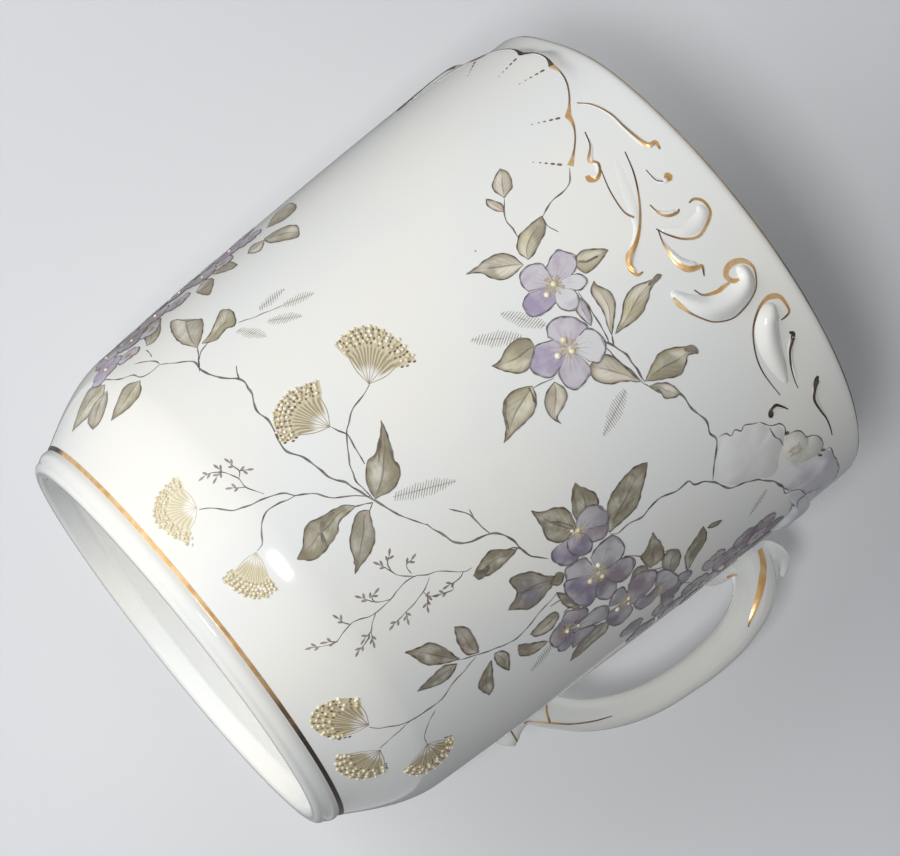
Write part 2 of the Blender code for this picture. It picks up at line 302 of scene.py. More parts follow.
def finish_piece(piece, material, slot, *nodes):
    """Gives a piece its finish, sets it on the cup, and hides the CAD nodes that it stands for."""
    piece.data.materials.clear()
    piece.data.materials.append(material)
    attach(piece, "root")
    if nodes:
        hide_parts(*nodes)
    print(piece.name, len(piece.data.polygons), "faces")
    return piece


# %% [markdown]
# ## Node helpers and shared effects
#
# A finish is a chain of small steps, so three short helpers make the steps: a sum, a smooth ramp and a
# mix of two colours. Three effects are used by more than one finish, so each is a node group: the slight
# ripple of a fired glaze, the pools of a watery brush, and an outline drawn along a piece's edges.

# %% Node steps
def feed(tree, sockets, values):
    for socket, value in zip(sockets, values):
        if isinstance(value, bpy.types.NodeSocket):
            tree.links.new(value, socket)
        else:
            socket.default_value = value


def sum_of(tree, operation, *values):
    step = tree.nodes.new("ShaderNodeMath")
    step.operation = operation
    feed(tree, step.inputs, values)
    return step.outputs[0]


def ramp(tree, value, low, high, to_low=0.0, to_high=1.0):
    step = tree.nodes.new("ShaderNodeMapRange")
    step.interpolation_type = "SMOOTHSTEP"
    feed(tree, list(step.inputs)[:5], (value, low, high, to_low, to_high))
    return step.outputs[0]


def mixed(tree, share, first, second, how="MIX"):
    step = tree.nodes.new("ShaderNodeMix")
    step.data_type = "RGBA"
    step.blend_type = how
    feed(tree, (step.inputs[0], step.inputs[6], step.inputs[7]), (share, first, second))
    return step.outputs[2]


def object_noise(tree, scale, detail=2.0):
    step = tree.nodes.new("ShaderNodeTexNoise")
    place = tree.nodes.new("ShaderNodeTexCoord").outputs["Object"]
    feed(tree, [step.inputs[name] for name in ("Vector", "Scale", "Detail")], (place, scale, detail))
    return step.outputs[0]


def uv_of(tree):
    split = tree.nodes.new("ShaderNodeSeparateXYZ")
    tree.links.new(tree.nodes.new("ShaderNodeUVMap").outputs["UV"], split.inputs[0])
    return split.outputs["X"], split.outputs["Y"]


def new_group(name, inputs, output, kind):
    """A node group of float inputs with their first values, and one output."""
    tree = bpy.data.node_groups.new(name, "ShaderNodeTree")
    for label, value in inputs.items():
        socket = tree.interface.new_socket(label, in_out="INPUT", socket_type="NodeSocketFloat")
        socket.default_value = value
    tree.interface.new_socket(output, in_out="OUTPUT", socket_type=kind)
    return tree, tree.nodes.new("NodeGroupInput").outputs, tree.nodes.new("NodeGroupOutput").inputs[0]


def use_group(tree, group, *values):
    step = tree.nodes.new("ShaderNodeGroup")
    step.node_tree = group
    feed(tree, step.inputs, values)
    return step.outputs[0]


def new_material(name):
    material = bpy.data.materials.new(name)
    material.use_nodes = True
    return material, material.node_tree, material.node_tree.nodes["Principled BSDF"].inputs


# %% Shared effects
glaze_ripple, ripple_in, ripple_out = new_group(
    "glaze_ripple", {"Scale": 150.0, "Depth": 0.00001}, "Normal", "NodeSocketVector"
)
swell = object_noise(glaze_ripple, ripple_in["Scale"], 1.0)
bump = glaze_ripple.nodes.new("ShaderNodeBump")
feed(glaze_ripple, [bump.inputs[name] for name in ("Distance", "Height")], (ripple_in["Depth"], swell))
glaze_ripple.links.new(bump.outputs["Normal"], ripple_out)

brush_pools, pools_in, pools_out = new_group("brush_pools", {"Scale": 700.0}, "Share", "NodeSocketFloat")
pooled = object_noise(brush_pools, pools_in["Scale"], 4.0)
brush_pools.links.new(ramp(brush_pools, pooled, 0.36, 0.66), pools_out)

drawn_outline, outline_in, outline_out = new_group(
    "drawn_outline", {"Width": 0.12, "Wobble": 0.1}, "Mask", "NodeSocketFloat"
)
across_piece = uv_of(drawn_outline)[1]
from_middle = sum_of(drawn_outline, "ABSOLUTE", sum_of(drawn_outline, "MULTIPLY_ADD", across_piece, 2.0, -1.0))
shake = sum_of(drawn_outline, "SUBTRACT", object_noise(drawn_outline, 1500.0), 0.5)
from_edge = sum_of(drawn_outline, "SUBTRACT", 1.0, from_middle)
shaken = sum_of(drawn_outline, "MULTIPLY_ADD", shake, outline_in["Wobble"], from_edge)
full_until = sum_of(drawn_outline, "MULTIPLY", outline_in["Width"], 0.6)
gone_from = sum_of(drawn_outline, "MULTIPLY", outline_in["Width"], 1.7)
drawn_outline.links.new(ramp(drawn_outline, shaken, full_until, gone_from, 1.0, 0.0), outline_out)
print("node groups:", [group.name for group in bpy.data.node_groups])

# %% [markdown]
# ## Porcelain
#
# Hard porcelain is nearly white, a touch warm where the glaze is thick and cool where it is thin. The
# glaze is glassy, with a ripple too fine to see as shape, which only breaks up the reflections. A few
# iron specks are left in it from the firing.

# %% Glazed porcelain
PORCELAIN_WARM = (0.83, 0.82, 0.775, 1)
PORCELAIN_COOL = (0.795, 0.81, 0.795, 1)
SPECK_BROWN = (0.25, 0.20, 0.16, 1)


def porcelain_finish(name, washed):
    """White glaze, or white glaze under a thin wash in the piece's own tint."""
    material, tree, shader = new_material(name)
    clouds = ramp(tree, object_noise(tree, 42.0, 3.0), 0.38, 0.62)
    white = mixed(tree, clouds, PORCELAIN_WARM, PORCELAIN_COOL)
    if washed:
        tint = tree.nodes.new("ShaderNodeAttribute")
        tint.attribute_name = "tint"
        thin = ramp(tree, use_group(tree, brush_pools, 330.0), 0.0, 1.0, 0.95, 0.45)
        white = mixed(tree, thin, white, tint.outputs["Color"])
    specks = tree.nodes.new("ShaderNodeTexVoronoi")
    place = tree.nodes.new("ShaderNodeTexCoord").outputs["Object"]
    feed(tree, [specks.inputs[label] for label in ("Vector", "Scale")], (place, 170.0))
    near_speck = ramp(tree, specks.outputs["Distance"], 0.010, 0.024, 1.0, 0.0)
    some_specks = ramp(tree, object_noise(tree, 60.0), 0.60, 0.66)
    speckled = mixed(tree, sum_of(tree, "MULTIPLY", near_speck, some_specks), white, SPECK_BROWN)
    tree.links.new(speckled, shader["Base Color"])
    tree.links.new(ramp(tree, object_noise(tree, 90.0, 3.0), 0.3, 0.7, 0.07, 0.13), shader["Roughness"])
    tree.links.new(use_group(tree, glaze_ripple, 120.0, 0.000012), shader["Normal"])
    shader["IOR"].default_value = 1.52
    shader["Coat Weight"].default_value = 0.25
    shader["Coat Roughness"].default_value = 0.03
    return material


porcelain = porcelain_finish("glazed_porcelain", False)
washed_and_shaded_porcelain = porcelain_finish("washed_and_shaded_porcelain", True)

# %% [markdown]
# ## Gilding
#
# The gold was brushed on and fired. Where the brush was full it is orange gold, and where it ran thin it
# is brown to nearly black. An attribute on each stroke holds the load of the brush, and brush pools of
# two sizes make the tone uneven. On the strokes nearest the handle a low load darkens the gold to nearly
# black as painted shade and a painted dark reflection.

# %% Worn gilding
GOLD = (0.82, 0.46, 0.16, 1)
GOLD_PALE = (0.90, 0.64, 0.35, 1)
GOLD_BROWN = (0.34, 0.20, 0.10, 1)
GOLD_DARK = (0.075, 0.055, 0.045, 1)

gilding, tree, shader = new_material("worn_gilding")
load = tree.nodes.new("ShaderNodeAttribute")
load.attribute_name = "load"
uneven = sum_of(tree, "MULTIPLY_ADD", use_group(tree, brush_pools, 420.0), -0.2, load.outputs["Fac"])
thick = ramp(tree, uneven, 0.0, 0.6)
bright = mixed(tree, use_group(tree, brush_pools, 900.0), GOLD, GOLD_PALE)
thin = mixed(tree, use_group(tree, brush_pools, 150.0), GOLD_BROWN, GOLD_DARK)
thin = mixed(tree, ramp(tree, load.outputs["Fac"], 0.02, 0.16), GOLD_DARK, thin)
tree.links.new(mixed(tree, thick, thin, bright), shader["Base Color"])
tree.links.new(ramp(tree, thick, 0.0, 1.0, 0.45, 0.30), shader["Roughness"])
tree.links.new(use_group(tree, glaze_ripple, 2200.0, 0.00001), shader["Normal"])
shader["Metallic"].default_value = 0.5

# %% [markdown]
# ## Leaf enamel
#
# Each leaf was drawn with a fine brown pen and washed in thin olive, taupe or rust, which pools darker on
# one half and at the tip. The UV map says where a point lies in its leaf, so the outline, midrib, side
# veins and dark tip are drawn from it. A colour attribute holds each leaf's own tint.

# %% Leaf wash with pen lines
PEN_BROWN = (0.11, 0.088, 0.07, 1)
TIP_BROWN = (0.20, 0.15, 0.10, 1)
WASH_PALE = (0.78, 0.75, 0.66, 1)
WASH_DARK = (0.24, 0.21, 0.14, 1)

leaf_enamel, tree, shader = new_material("leaf_enamel")
tint = tree.nodes.new("ShaderNodeAttribute")
tint.attribute_name = "tint"
along, across = uv_of(tree)
from_rib = sum_of(tree, "ABSOLUTE", sum_of(tree, "MULTIPLY_ADD", across, 2.0, -1.0))
pools = sum_of(tree, "MULTIPLY", use_group(tree, brush_pools, 520.0), 0.65)
wash = mixed(tree, pools, tint.outputs["Color"], WASH_PALE)
wash = mixed(tree, ramp(tree, object_noise(tree, 300.0), 0.50, 0.64, 0.0, 0.60), wash, WASH_DARK)
dark_half = ramp(tree, across, 0.40, 0.60, 0.34, 0.0)
wash = mixed(tree, dark_half, wash, WASH_DARK)
wash = mixed(tree, ramp(tree, from_rib, 0.50, 1.0, 0.0, 0.65), wash, WASH_DARK)
phase = sum_of(tree, "MULTIPLY_ADD", from_rib, -2.6, sum_of(tree, "MULTIPLY", along, 6.5))
to_vein = sum_of(tree, "ABSOLUTE", sum_of(tree, "SUBTRACT", sum_of(tree, "FRACT", phase), 0.5))
broken = ramp(tree, object_noise(tree, 620.0), 0.40, 0.60)
veins = sum_of(tree, "MULTIPLY", ramp(tree, to_vein, 0.02, 0.15, 0.30, 0.0), broken)
wash = mixed(tree, veins, wash, PEN_BROWN)
rib = sum_of(tree, "MULTIPLY", ramp(tree, from_rib, 0.02, 0.10, 0.6, 0.0), ramp(tree, along, 0.5, 0.9, 1.0, 0.0))
wash = mixed(tree, rib, wash, PEN_BROWN)
wash = mixed(tree, ramp(tree, along, 0.70, 1.0, 0.0, 0.85), wash, TIP_BROWN)
pressed = ramp(tree, object_noise(tree, 800.0), 0.35, 0.60, 0.30, 0.80)
pen_edge = sum_of(tree, "MULTIPLY", use_group(tree, drawn_outline, 0.06, 0.14), pressed)
tree.links.new(mixed(tree, pen_edge, wash, PEN_BROWN), shader["Base Color"])
tree.links.new(use_group(tree, glaze_ripple, 900.0, 0.000004), shader["Normal"])
shader["Roughness"].default_value = 0.22

# %% [markdown]
# ## Lilac enamel
#
# The blossoms are washed in thin lilac that pools here and there, with a grey violet pen outline and fine
# lines out of the middle. A petal's UV x runs from the middle of the blossom to its rim.

# %% Petal wash with pen lines
PEN_VIOLET = (0.13, 0.105, 0.125, 1)
PETAL_PALE = (0.70, 0.68, 0.70, 1)
PETAL_SHADE = (0.33, 0.29, 0.38, 1)
PETAL_HEART = (0.62, 0.55, 0.42, 1)

lilac_enamel, tree, shader = new_material("lilac_enamel")
tint = tree.nodes.new("ShaderNodeAttribute")
tint.attribute_name = "tint"
along, across = uv_of(tree)
pools = sum_of(tree, "MULTIPLY", use_group(tree, brush_pools, 380.0), 0.55)
wash = mixed(tree, pools, tint.outputs["Color"], PETAL_PALE)
wash = mixed(tree, ramp(tree, object_noise(tree, 650.0), 0.50, 0.70, 0.0, 0.32), wash, PETAL_SHADE)
wash = mixed(tree, ramp(tree, along, 0.08, 0.30, 0.75, 0.0), wash, PETAL_HEART)
strand = sum_of(tree, "FRACT", sum_of(tree, "MULTIPLY", across, 6.0))
to_strand = sum_of(tree, "ABSOLUTE", sum_of(tree, "SUBTRACT", strand, 0.5))
strands = sum_of(tree, "MULTIPLY", ramp(tree, to_strand, 0.04, 0.2, 0.28, 0.0), ramp(tree, along, 0.25, 0.7, 1.0, 0.0))
wash = mixed(tree, strands, wash, PEN_VIOLET)
shaken_along = sum_of(tree, "MULTIPLY_ADD", object_noise(tree, 1500.0), 0.06, along)
pen_edge = sum_of(tree, "MAXIMUM", use_group(tree, drawn_outline, 0.06, 0.06), ramp(tree, shaken_along, 0.965, 0.995))
pressed = ramp(tree, object_noise(tree, 800.0), 0.35, 0.60, 0.20, 0.60)
tree.links.new(mixed(tree, sum_of(tree, "MULTIPLY", pen_edge, pressed), wash, PEN_VIOLET), shader["Base Color"])
tree.links.new(use_group(tree, glaze_ripple, 900.0, 0.000004), shader["Normal"])
shader["Roughness"].default_value = 0.22

# %% [markdown]
# ## Pen lines, crown wash and raised beads
#
# Stems, twigs and hatched ferns are pen lines in their own tint, broken a little where the pen ran dry.
# The flat-topped flower heads have stripes of ochre from their joint outwards and a tinted crown, which
# raised beads of cream cover. In a head, UV x runs from the joint to the crown and UV y across the fan, and
# the fourth value of its tint is the strength of its stripes.

# %% Pen, wash and bead finishes
PEN_DRY = (0.50, 0.47, 0.41, 1)
CROWN_WHITE = (0.80, 0.79, 0.75, 1)
CROWN_STRIPE = (0.30, 0.24, 0.14, 1)
BEAD_CREAM = (0.87, 0.83, 0.69, 1)
BEAD_GOLD = (0.74, 0.62, 0.37, 1)

pen_line, tree, shader = new_material("pen_line")
tint = tree.nodes.new("ShaderNodeAttribute")
tint.attribute_name = "tint"
dry = sum_of(tree, "MULTIPLY", use_group(tree, brush_pools, 1100.0), 0.35)
tree.links.new(mixed(tree, dry, tint.outputs["Color"], PEN_DRY), shader["Base Color"])
shader["Roughness"].default_value = 0.28

crown_wash, tree, shader = new_material("crown_wash")
tint = tree.nodes.new("ShaderNodeAttribute")
tint.attribute_name = "tint"
depth, across = uv_of(tree)
stripe = sum_of(tree, "FRACT", sum_of(tree, "MULTIPLY", across, 13.0))
to_stripe = sum_of(tree, "ABSOLUTE", sum_of(tree, "SUBTRACT", stripe, 0.5))
stripes = sum_of(tree, "MULTIPLY", ramp(tree, to_stripe, 0.14, 0.42, 0.80, 0.0), tint.outputs["Alpha"])
ochre = mixed(tree, stripes, tint.outputs["Color"], CROWN_STRIPE)
fan = mixed(tree, ramp(tree, depth, 0.16, 0.36), CROWN_WHITE, ochre)
crown_clouds = ramp(tree, object_noise(tree, 1600.0), 0.35, 0.65, 0.35, 0.9)
crown_share = sum_of(tree, "MULTIPLY", ramp(tree, depth, 0.58, 0.68), crown_clouds)
tree.links.new(mixed(tree, crown_share, fan, tint.outputs["Color"]), shader["Base Color"])
shader["Roughness"].default_value = 0.25

raised_bead, tree, shader = new_material("raised_bead")
bead_tone = mixed(tree, use_group(tree, brush_pools, 1400.0), BEAD_CREAM, BEAD_GOLD)
tree.links.new(bead_tone, shader["Base Color"])
shader["Roughness"].default_value = 0.2
print("finishes:", [material.name for material in bpy.data.materials])

# %% [markdown]
# ## The turned body
#
# The potter throws the body on a wheel, and here it is made the same way: one point is extruded along the
# profile, from the middle of the floor inside, over the lip, down the wall, round the foot and back to the
# axis underneath, and the line is spun round the axis. One spun skin has no seam between body and foot.

# %% Spin a profile round the axis
BODY_SIDES = 360


def turned(name, profile):
    """Extrudes one point through the profile's (radius, height) places, then spins the line."""
    places = [Vector((AXIS_X + radius, 0, height)) for radius, height in profile]
    bpy.ops.object.select_all(action="DESELECT")
    bpy.ops.mesh.primitive_plane_add(size=MM)
    piece = bpy.context.object
    piece.name = name
    bpy.ops.object.mode_set(mode="EDIT")
    bpy.ops.mesh.merge(type="CENTER")
    bpy.ops.transform.translate(value=places[0])
    for start, end in zip(places, places[1:]):
        bpy.ops.mesh.extrude_vertices_move(TRANSFORM_OT_translate={"value": end - start})
    bpy.ops.mesh.select_all(action="SELECT")
    bpy.ops.mesh.spin(steps=BODY_SIDES, angle=2 * math.pi, center=(AXIS_X, 0, 0), axis=(0, 0, 1))
    bpy.ops.mesh.select_all(action="SELECT")
    bpy.ops.mesh.remove_doubles(threshold=0.000001)
    bpy.ops.mesh.normals_make_consistent(inside=False)
    bpy.ops.object.mode_set(mode="OBJECT")
    bpy.ops.object.shade_smooth_by_angle(angle=math.radians(60))
    return piece


def arc(centre, radius, start, end, count):
    """Places of a round in a profile, with angles in degrees."""
    turns = np.radians(np.linspace(start, end, count))
    return [(centre[0] + radius * math.cos(turn), centre[1] + radius * math.sin(turn)) for turn in turns]


def press_rim(piece):
    """Moves the points behind the border in by the step in the wall."""
    flat = np.empty(len(piece.data.vertices) * 3)
    piece.data.vertices.foreach_get("co", flat)
    places = flat.reshape(-1, 3)
    across = places[:, :2] - (AXIS_X, 0)
    radius = np.maximum(np.hypot(*across.T), MM)
    depth = step_depth(np.arctan2(across[:, 1], across[:, 0]), places[:, 2])
    places[:, :2] -= across * (depth / radius)[:, None]
    piece.data.vertices.foreach_set("co", places.ravel())
    piece.data.update()
    return piece


# %% Throw the body
WALL_THICKNESS = 2.2 * MM
LIP_THICKNESS = 1.6 * MM
FLOOR_THICKNESS = 3.0 * MM
FLOOR_ROUND = 6.0 * MM
FOOT_RADIUS = 22.9 * MM
FOOT_EDGE = 0.7 * MM
FOOT_BULGE = 0.22 * MM
FOOT_LAND = 0.5 * MM
FOOT_SLOPE = 0.55 * MM  # how far the ring's inner side leans in
RECESS_ROUND = 0.35 * MM  # corner between the ring's inner side and the underside
RECESS_EDGE = 0.25 * MM
DISH_RISE = 0.35 * MM  # how far the underside is hollowed
CLOSE_ROWS = 20.0 * MM  # the rows of the wall lie close together this far down, for the border's step

floor_height = FOOT_HEIGHT + FLOOR_THICKNESS
lip_height = CUP_HEIGHT - LIP_THICKNESS / 2


def inner_radius(height):
    thinned = (height - FOOT_HEIGHT) / (CUP_HEIGHT - FOOT_HEIGHT)
    return wall_radius(height) - WALL_THICKNESS - (LIP_THICKNESS - WALL_THICKNESS) * thinned


def wall_rows(top, bottom, count):
    return [(wall_radius(z), z) for z in np.linspace(top, bottom, count)[1:]]


corner_top = floor_height + FLOOR_ROUND
corner = (inner_radius(corner_top) - FLOOR_ROUND, corner_top)
lip = (inner_radius(lip_height) + LIP_THICKNESS / 2, lip_height)
close_end = CUP_HEIGHT - CLOSE_ROWS
flare_top = FOOT_HEIGHT + FLARE_HEIGHT
land_inner = FOOT_RADIUS - FOOT_EDGE - FOOT_LAND
body_profile = [(0, floor_height), (corner[0] / 2, floor_height)]
body_profile += arc(corner, FLOOR_ROUND, -90, 0, 14)
body_profile += [(inner_radius(z), z) for z in np.linspace(corner_top, close_end, 12)[1:]]
body_profile += [(inner_radius(z), z) for z in np.linspace(close_end, lip_height, 26)[1:-1]]
body_profile += arc(lip, LIP_THICKNESS / 2, 180, 0, 13)
body_profile += wall_rows(lip_height, close_end, 52) + wall_rows(close_end, flare_top, 20)
body_profile += wall_rows(flare_top, FOOT_HEIGHT, 26)
body_profile += [
    (BASE_RADIUS + (FOOT_RADIUS - BASE_RADIUS) * share + FOOT_BULGE * math.sin(math.pi * share), z)
    for share, z in zip(np.linspace(0, 1, 8)[1:-1], np.linspace(FOOT_HEIGHT, FOOT_EDGE, 8)[1:-1])
]
body_profile += arc((FOOT_RADIUS - FOOT_EDGE, FOOT_EDGE), FOOT_EDGE, 0, -90, 7)
body_profile += arc((land_inner, FOOT_EDGE), FOOT_EDGE, -90, -155, 6)
recess_radius = land_inner - FOOT_SLOPE - RECESS_ROUND
body_profile += [(land_inner - FOOT_SLOPE, FOOT_HEIGHT - RECESS_EDGE), (recess_radius, FOOT_HEIGHT)]
body_profile += [
    (recess_radius * share, FOOT_HEIGHT + DISH_RISE * (1 - share**2))
    for share in np.linspace(1, 0, 9)[1:]
]

body = press_rim(turned("porcelain_body", body_profile))
finish_piece(body, porcelain, "porcelain", "cup_body", "foot_ring")

# %% [markdown]
# ## Gilt lines round the rim and the foot
#
# The gilder turned the cup on a whirler against a loaded brush, so these lines are spun as well. They are
# thin open bands that lie a hair outside the glaze, on the edge of the lip and where the foot joins. The
# brush was refilled now and then, so its load falls on the way round, and each new stroke starts softly
# over the end of the last.

# %% Rim and foot bands
GILT_LIFT = 0.03 * MM
FOOT_BAND = 0.36 * MM
REFILLS = 2
FIRST_REFILL = math.radians(-169)
FULL_LOAD = 1.15
LOAD_SPENT = 1.9
SPENDING = 0.9  # below one, the brush gives more gold at the start
SOFT_START = 0.16  # of the way between two refills
RIM_LOAD = 0.80
FOOT_LOAD = 1.0


def brush_load(piece, loads):
    """Writes the load of the brush at each point, for the gilding's finish."""
    piece.data.attributes.new("load", "FLOAT", "POINT").data.foreach_set("value", loads)
    return piece


def whirled(piece, full):
    """The load of a brush that is refilled a few times round the cup."""
    turns = [math.atan2(vertex.co.y, vertex.co.x - AXIS_X) - FIRST_REFILL for vertex in piece.data.vertices]
    spent = np.array(turns) * REFILLS / (2 * math.pi) % 1
    load = FULL_LOAD - LOAD_SPENT * spent**SPENDING
    return brush_load(piece, full * (load + (FULL_LOAD - load) * eased(spent, 1 - SOFT_START, 1)))


lip_band = arc(lip, LIP_THICKNESS / 2 + GILT_LIFT, 40, 60, 5)
rim_line = whirled(press_rim(turned("gilt_rim_line", lip_band)), RIM_LOAD)
finish_piece(rim_line, gilding, "gilding")
band_heights = np.linspace(FOOT_HEIGHT - 0.05 * MM, FOOT_HEIGHT + FOOT_BAND, 6)
foot_band = [(wall_radius(z) + GILT_LIFT, z) for z in band_heights]
foot_line = whirled(turned("gilt_foot_line", foot_band), FOOT_LOAD)
finish_piece(foot_line, gilding, "gilding")

# %% [markdown]
# ## The handle
#
# The handle was cast as one piece: an oval loop with a thumb spur on its shoulder, a small bracket under
# it and a curled terminal at the lower root. Rods are laid along the same lines as in the CAD source,
# joined, and remeshed with small voxels, so the joints between them melt together as wet clay does. A
# web of clay fills the corner between the spur and the loop.

# %% Rods of the handle
HANDLE_DROP = 10.7 * MM
HANDLE_SPAN = 29.0 * MM
HANDLE_REACH = 12.0 * MM
HANDLE_DEPTH = 3.4 * MM
HANDLE_WIDTH = 4.0 * MM
ROOT_SINK = 1.0 * MM
BRACKET_DROP = 5.5 * MM
BRACKET_RADIUS = 0.8 * MM
SPUR_RADIUS = 1.3 * MM
TERMINAL_RADIUS = 1.4 * MM
# Share of the reach out from the wall, share of the span down from the upper root, and fullness.
LOOP_SHAPE = (
    (0.40, -0.02, 1.35),
    (0.75, 0.03, 1.3),
    (0.93, 0.15, 1.18),
    (1.00, 0.29, 1.08),
    (1.00, 0.44, 1.0),
    (0.945, 0.60, 1.0),
    (0.815, 0.74, 1.0),
    (0.66, 0.84, 1.0),
    (0.49, 0.91, 1.03),
    (0.28, 0.975, 1.08),
)
# Millimetres out and up from where each one starts, and fullness.
SPUR_SHAPE = ((0, 0, 1.0), (1.5, 2.4, 0.95), (3.3, 3.2, 0.65), (5.0, 2.2, 0.2))
WEB_SHAPE = ((1.5, 1.6, 0.9), (3.6, 1.2, 0.8), (4.6, -0.6, 0.9))
BRACKET_SHAPE = ((0, 0, 1.3), (3.2, 0.1, 1.0), (5.4, 1.4, 1.0))
TERMINAL_SHAPE = ((0, 0, 0.8), (0.1, -2.3, 0.8), (0.5, -4.0, 1.1), (1.2, -4.8, 0.95))


def handle_place(out, down):
    height = CUP_HEIGHT - HANDLE_DROP - down
    return Vector((AXIS_X + float(wall_radius(height)) + out, 0, height))


def rod(name, places, radii):
    """A rod along a smooth curve through the places, made a mesh."""
    bpy.ops.object.select_all(action="DESELECT")
    bpy.ops.curve.primitive_bezier_curve_add()
    piece = bpy.context.object
    piece.name = name
    piece.data.dimensions = "3D"
    piece.data.bevel_depth = 1.0
    piece.data.bevel_resolution = 6
    piece.data.resolution_u = 10
    piece.data.use_fill_caps = True
    knots = piece.data.splines[0].bezier_points
    knots.add(len(places) - 2)
    for knot, place, radius in zip(knots, places, radii):
        knot.handle_left_type = "AUTO"
        knot.handle_right_type = "AUTO"
        knot.co = place
        knot.radius = radius
    bpy.ops.object.convert(target="MESH")
    return bpy.context.object


def branch(name, start, shape, radius, end=None):
    places = [start + Vector((out * MM, 0, up * MM)) for out, up, fullness in shape]
    radii = [radius * fullness for out, up, fullness in shape]
    if end:
        places.append(end)
        radii.append(radius)
    return rod(name, places, radii)


loop_places = [handle_place(HANDLE_REACH * out, HANDLE_SPAN * down) for out, down, fullness in LOOP_SHAPE]
loop_places = [handle_place(-ROOT_SINK, 0)] + loop_places + [handle_place(-ROOT_SINK, HANDLE_SPAN)]
loop_radii = [HANDLE_DEPTH / 2 * fullness for fullness in [1.4] + [point[2] for point in LOOP_SHAPE] + [1.1]]
loop = rod("loop_rod", loop_places, loop_radii)
bpy.ops.object.mode_set(mode="EDIT")
bpy.ops.mesh.select_all(action="SELECT")
bpy.ops.transform.resize(value=(1, HANDLE_WIDTH / HANDLE_DEPTH, 1), center_override=(0, 0, 0))
bpy.ops.object.mode_set(mode="OBJECT")
shoulder, lower_root = loop_places[1], loop_places[-2]
spur = branch("spur_rod", shoulder, SPUR_SHAPE, SPUR_RADIUS)
web = branch("web_rod", shoulder, WEB_SHAPE, SPUR_RADIUS)
bracket = branch("bracket_rod", handle_place(-ROOT_SINK, BRACKET_DROP), BRACKET_SHAPE, BRACKET_RADIUS, shoulder)
terminal = branch("terminal_rod", lower_root, TERMINAL_SHAPE, TERMINAL_RADIUS)

# %% Melt the rods together
HANDLE_VOXEL = 0.15 * MM

handle = joined("porcelain_handle", [loop, spur, web, bracket, terminal])
remesh = handle.modifiers.new("melted", "REMESH")
remesh.mode = "VOXEL"
remesh.voxel_size = HANDLE_VOXEL
smooth = handle.modifiers.new("sponged", "SMOOTH")
smooth.factor = 0.5
smooth.iterations = 8
for modifier in list(handle.modifiers):
    bpy.ops.object.modifier_apply(modifier=modifier.name)
bpy.ops.object.shade_smooth()
handle_nodes = ("handle_loop", "handle_thumb_spur", "handle_bracket", "handle_terminal")
finish_piece(handle, porcelain, "porcelain", *handle_nodes)

# %% [markdown]
# ## Relief scrolls
#
# The scrolls are soft ridges that rise out of the wall in the mould. Each is a grid along the scroll's
# line. Across the line it rises as a soft hump, and its sides dip a little under the wall so that no
# gap shows. Both ends are rounded off. The lines are read from the picture, close to those of the CAD nodes
# that the ridges stand for, and the last five scrolls are also copied to the far side of the handle.

# %% Lines of the scrolls
# Pixel along the middle of the scroll, half width in mm and rise in mm.
FRONT_SCROLLS = {
    "s_scroll": (
        (580, 104, 0.2, 0.08), (593, 105, 0.28, 0.12), (610, 114, 0.3, 0.15), (625, 128, 0.35, 0.17),
        (640, 141, 0.4, 0.22), (649, 145, 0.4, 0.25), (656, 143, 0.3, 0.18),
    ),
    "hook_scroll": (
        (586, 135, 0.2, 0.08), (591, 147, 0.28, 0.13), (591, 159, 0.32, 0.16), (597, 165, 0.32, 0.17),
        (598, 174, 0.34, 0.2), (592, 178, 0.4, 0.3),
    ),
    "long_leaf": (
        (611, 150, 0.3, 0.05), (619, 170, 0.9, 0.08), (627, 192, 1.1, 0.09), (634, 212, 0.8, 0.12),
        (637, 230, 0.45, 0.2), (633, 248, 0.4, 0.24), (630, 264, 0.36, 0.24), (637, 273, 0.25, 0.15),
    ),
    "bud_comma": ((648, 173, 0.15, 0.07), (656, 180, 0.25, 0.14), (664, 181, 0.4, 0.25), (668, 177, 0.45, 0.4)),
    "small_hook": ((651, 207, 0.15, 0.07), (658, 212, 0.3, 0.15), (668, 214, 0.4, 0.22), (677, 211, 0.32, 0.18)),
    "c_scroll": (
        (660, 230, 0.2, 0.08), (671, 230, 0.5, 0.16), (685, 230, 0.85, 0.24), (698, 223, 0.95, 0.28),
        (702, 212, 0.8, 0.26), (697, 205, 0.5, 0.2),
    ),
    "leaf_scroll": (
        (661, 238, 0.15, 0.07), (668, 249, 0.35, 0.16), (678, 260, 0.55, 0.26), (688, 265, 0.6, 0.3),
        (698, 264, 0.4, 0.2),
    ),
}
SIDE_SCROLLS = {
    "big_scroll": (
        (670, 292, 0.45, 0.18), (690, 303, 1.0, 0.55), (711, 308, 1.4, 0.8), (732, 300, 1.5, 0.9),
        (744, 286, 1.25, 0.85), (744, 273, 0.85, 0.65), (736, 267, 0.5, 0.35),
    ),
    "tall_comma": (
        (787, 384, 0.35, 0.12), (779, 367, 1.0, 0.45), (772, 351, 1.35, 0.7), (768, 337, 1.45, 0.85),
        (767, 324, 1.4, 0.88), (770, 311, 1.2, 0.8), (774, 303, 0.8, 0.45),
    ),
    "slim_comma": ((794, 335, 0.35, 0.28), (791, 343, 0.4, 0.28), (790, 352, 0.4, 0.24), (792, 364, 0.3, 0.16),
        (797, 380, 0.2, 0.08)),
    "rim_comma": ((818, 378, 0.35, 0.28), (815, 389, 0.4, 0.24), (816, 400, 0.35, 0.2), (822, 411, 0.28, 0.14),
        (829, 424, 0.2, 0.08)),
    "curl": ((786, 408, 0.15, 0.07), (781, 407, 0.28, 0.16), (775, 406, 0.34, 0.2), (771, 410, 0.36, 0.24),
        (772, 415, 0.42, 0.32)),
}
BACK_TURN = 4.0  # the scrolls on the far side sit this much nearer the handle

